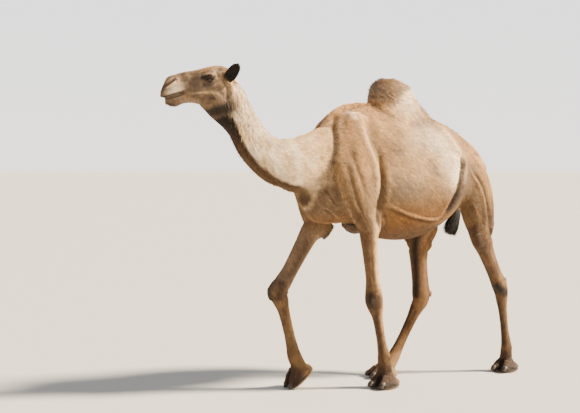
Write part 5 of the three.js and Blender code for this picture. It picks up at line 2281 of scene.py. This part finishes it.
def tail_hair(finish: CoatFinish) -> bpy.types.Object:
    """The dark brush at the tail's end: long locks round a short core."""
    rng = np.random.default_rng(SEED + 60)
    count = 1700
    loft = Loft(TAIL_TUFT, domes=(4, 20))
    core = loft.surface(rings=30, around=24, inset=9.0)
    t = rng.random(count) ** 1.3 * 0.8
    angle = rng.uniform(0, 2 * np.pi, count)
    centre, _, sideways, upward, reach, _ = loft.rings(t)
    out = unit(sideways * np.cos(angle)[:, None] + upward * np.sin(angle)[:, None])
    root = centre + out * (reach.mean(1) * 0.6)[:, None]
    end = np.array(TAIL_TUFT[-1][:3]) + rng.normal(0, 1, (count, 3)) * (9, 9, 0) + (0, 8, -14)
    towards = end + out * rng.uniform(0, 26, (count, 1)) - root
    reach_down = np.linalg.norm(towards, axis=1)
    length = np.minimum(reach_down * rng.uniform(0.7, 1.04, count), rng.uniform(90, 170, count))
    tint = Tone.BLACK.linear * rng.uniform(0.7, 3.0, (count, 1))
    locks = Locks(
        root, out, unit(towards), length, rng.uniform(2.5, 4.5, count), length * 0.2, length * 0.03, tint
    )
    vertices, faces, tints = locks.arrays()
    surface = joined([core, Surface(vertices, faces)])
    obj = add_piece("tail_hair", surface, "dark_hair", finish, "tail_tuft")
    set_attribute(
        obj.data, "coat_tint", np.vstack([np.tile(Tone.BLACK.linear, (len(core.vertices), 1)), tints])
    )
    return obj


def lashes(side: int) -> Surface:
    """Long lashes on the upper lid, in two rows that curve out and down."""
    rng = np.random.default_rng(SEED + 70)
    count = 110
    step = rng.uniform(0.22, 2.85, count)
    rim, turn = EYE.rim(step)
    root = EYE.polar(rim + rng.uniform(0.03, 0.1, count), turn, np.full(count, EYE.radius + 2.4))
    out = unit(root - np.array(EYE.centre))
    up = np.tile(EYE.axes[1], (count, 1)) * 0.1 + np.outer(np.cos(turn), EYE.axes[0]) * 0.35
    length = rng.uniform(15, 24, count) * (0.5 + 0.5 * np.sin(step))
    tint = np.tile(Tone.BLACK.linear, (count, 1))
    along = unit(out + up + rng.normal(0, 0.06, (count, 3)))
    upright = unit(np.cross(np.cross(along, np.array([0, 0, 1.0])), along))
    locks = Locks(root, upright, along, length, np.full(count, 0.9), length * 0.05, length * 0.45, tint)
    vertices, faces, _ = locks.arrays()
    return on_head(Surface(vertices, faces), side)


def breast_pad() -> Surface:
    """The callus under the breast, worn and uneven: its loft moved along its normals by soft lumps."""
    made = Loft(BREAST_PAD, facing=(0, -1, 0), domes=(16, 16)).surface(rings=80, around=80, inset=1.5)
    lumps = ripple(
        made.vertices, 26, (0, 0, 1), 1, 51
    ) + 0.6 * ripple(made.vertices, 10, (0, 0, 1), 1, 52) - 0.8
    return Surface(made.vertices + made.normals() * (lumps * 3.0)[:, None], made.faces)


def nails(leg: Leg) -> list[Surface]:
    """The two nails of a foot, left and right."""
    lofts = (Loft(stations, domes=(4, 10)) for stations in (LEFT_NAIL, mirrored(LEFT_NAIL)))
    return [leg.on_sole(loft.surface(rings=40, around=48, inset=0.3)) for loft in lofts]


def main() -> None:
    """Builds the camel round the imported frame."""
    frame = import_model()
    Studio().build()
    skin = Skin()
    fur = CoatFinish()
    own = ("eye", "nail_left", "nail_right", "tail_tuft", "breast_pad")
    nodes = [name for name in frame["nodes"] if not name.endswith(own)]
    body = add_piece("skin", skin.hide.surface, "coat", fur, *nodes)
    set_attribute(body.data, "coat_tint", skin.hide.tint)
    for side, name in ((1, "left"), (-1, "right")):
        ball, tint = EYE.ball(side)
        obj = add_piece(f"{name}_eyeball", ball, "eyeball", EyeFinish(), f"{name}_eye")
        set_attribute(obj.data, "eye_tint", tint)
    for leg in LEGS:
        for nail, name in zip(nails(leg), ("left", "right")):
            add_piece(
                f"{leg.name}_{name}_nail", nail, "nail", HornFinish("nail_horn", "#4d3f33", "#1f1611"),
                f"{leg.name}_nail_{name}"
            )
    pad = HornFinish("callus", "#5e4632", "#2c1e14", 7.0, 1.0, 0.85, 1.6)
    add_piece("breast_callus", breast_pad(), "callus", pad, "breast_pad")
    tail_hair(fur)
    coat = Coat(skin.hide)
    for piece in (*coat.pieces(), grow_manes(coat)):
        piece.data.materials.append(bpy.data.materials[fur.name])
    for side, name in ((1, "left"), (-1, "right")):
        surface = lashes(side)
        obj = mesh_object(f"{name}_lashes", to_model(surface.vertices), surface.faces)
        set_attribute(obj.data, "coat_tint", np.tile(Tone.BLACK.linear, (len(surface.vertices), 1)))
        obj.data.materials.append(bpy.data.materials[fur.name])
        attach(obj, "root")


if __name__ == "__main__":
    logging.basicConfig(level=logging.INFO)
    main()
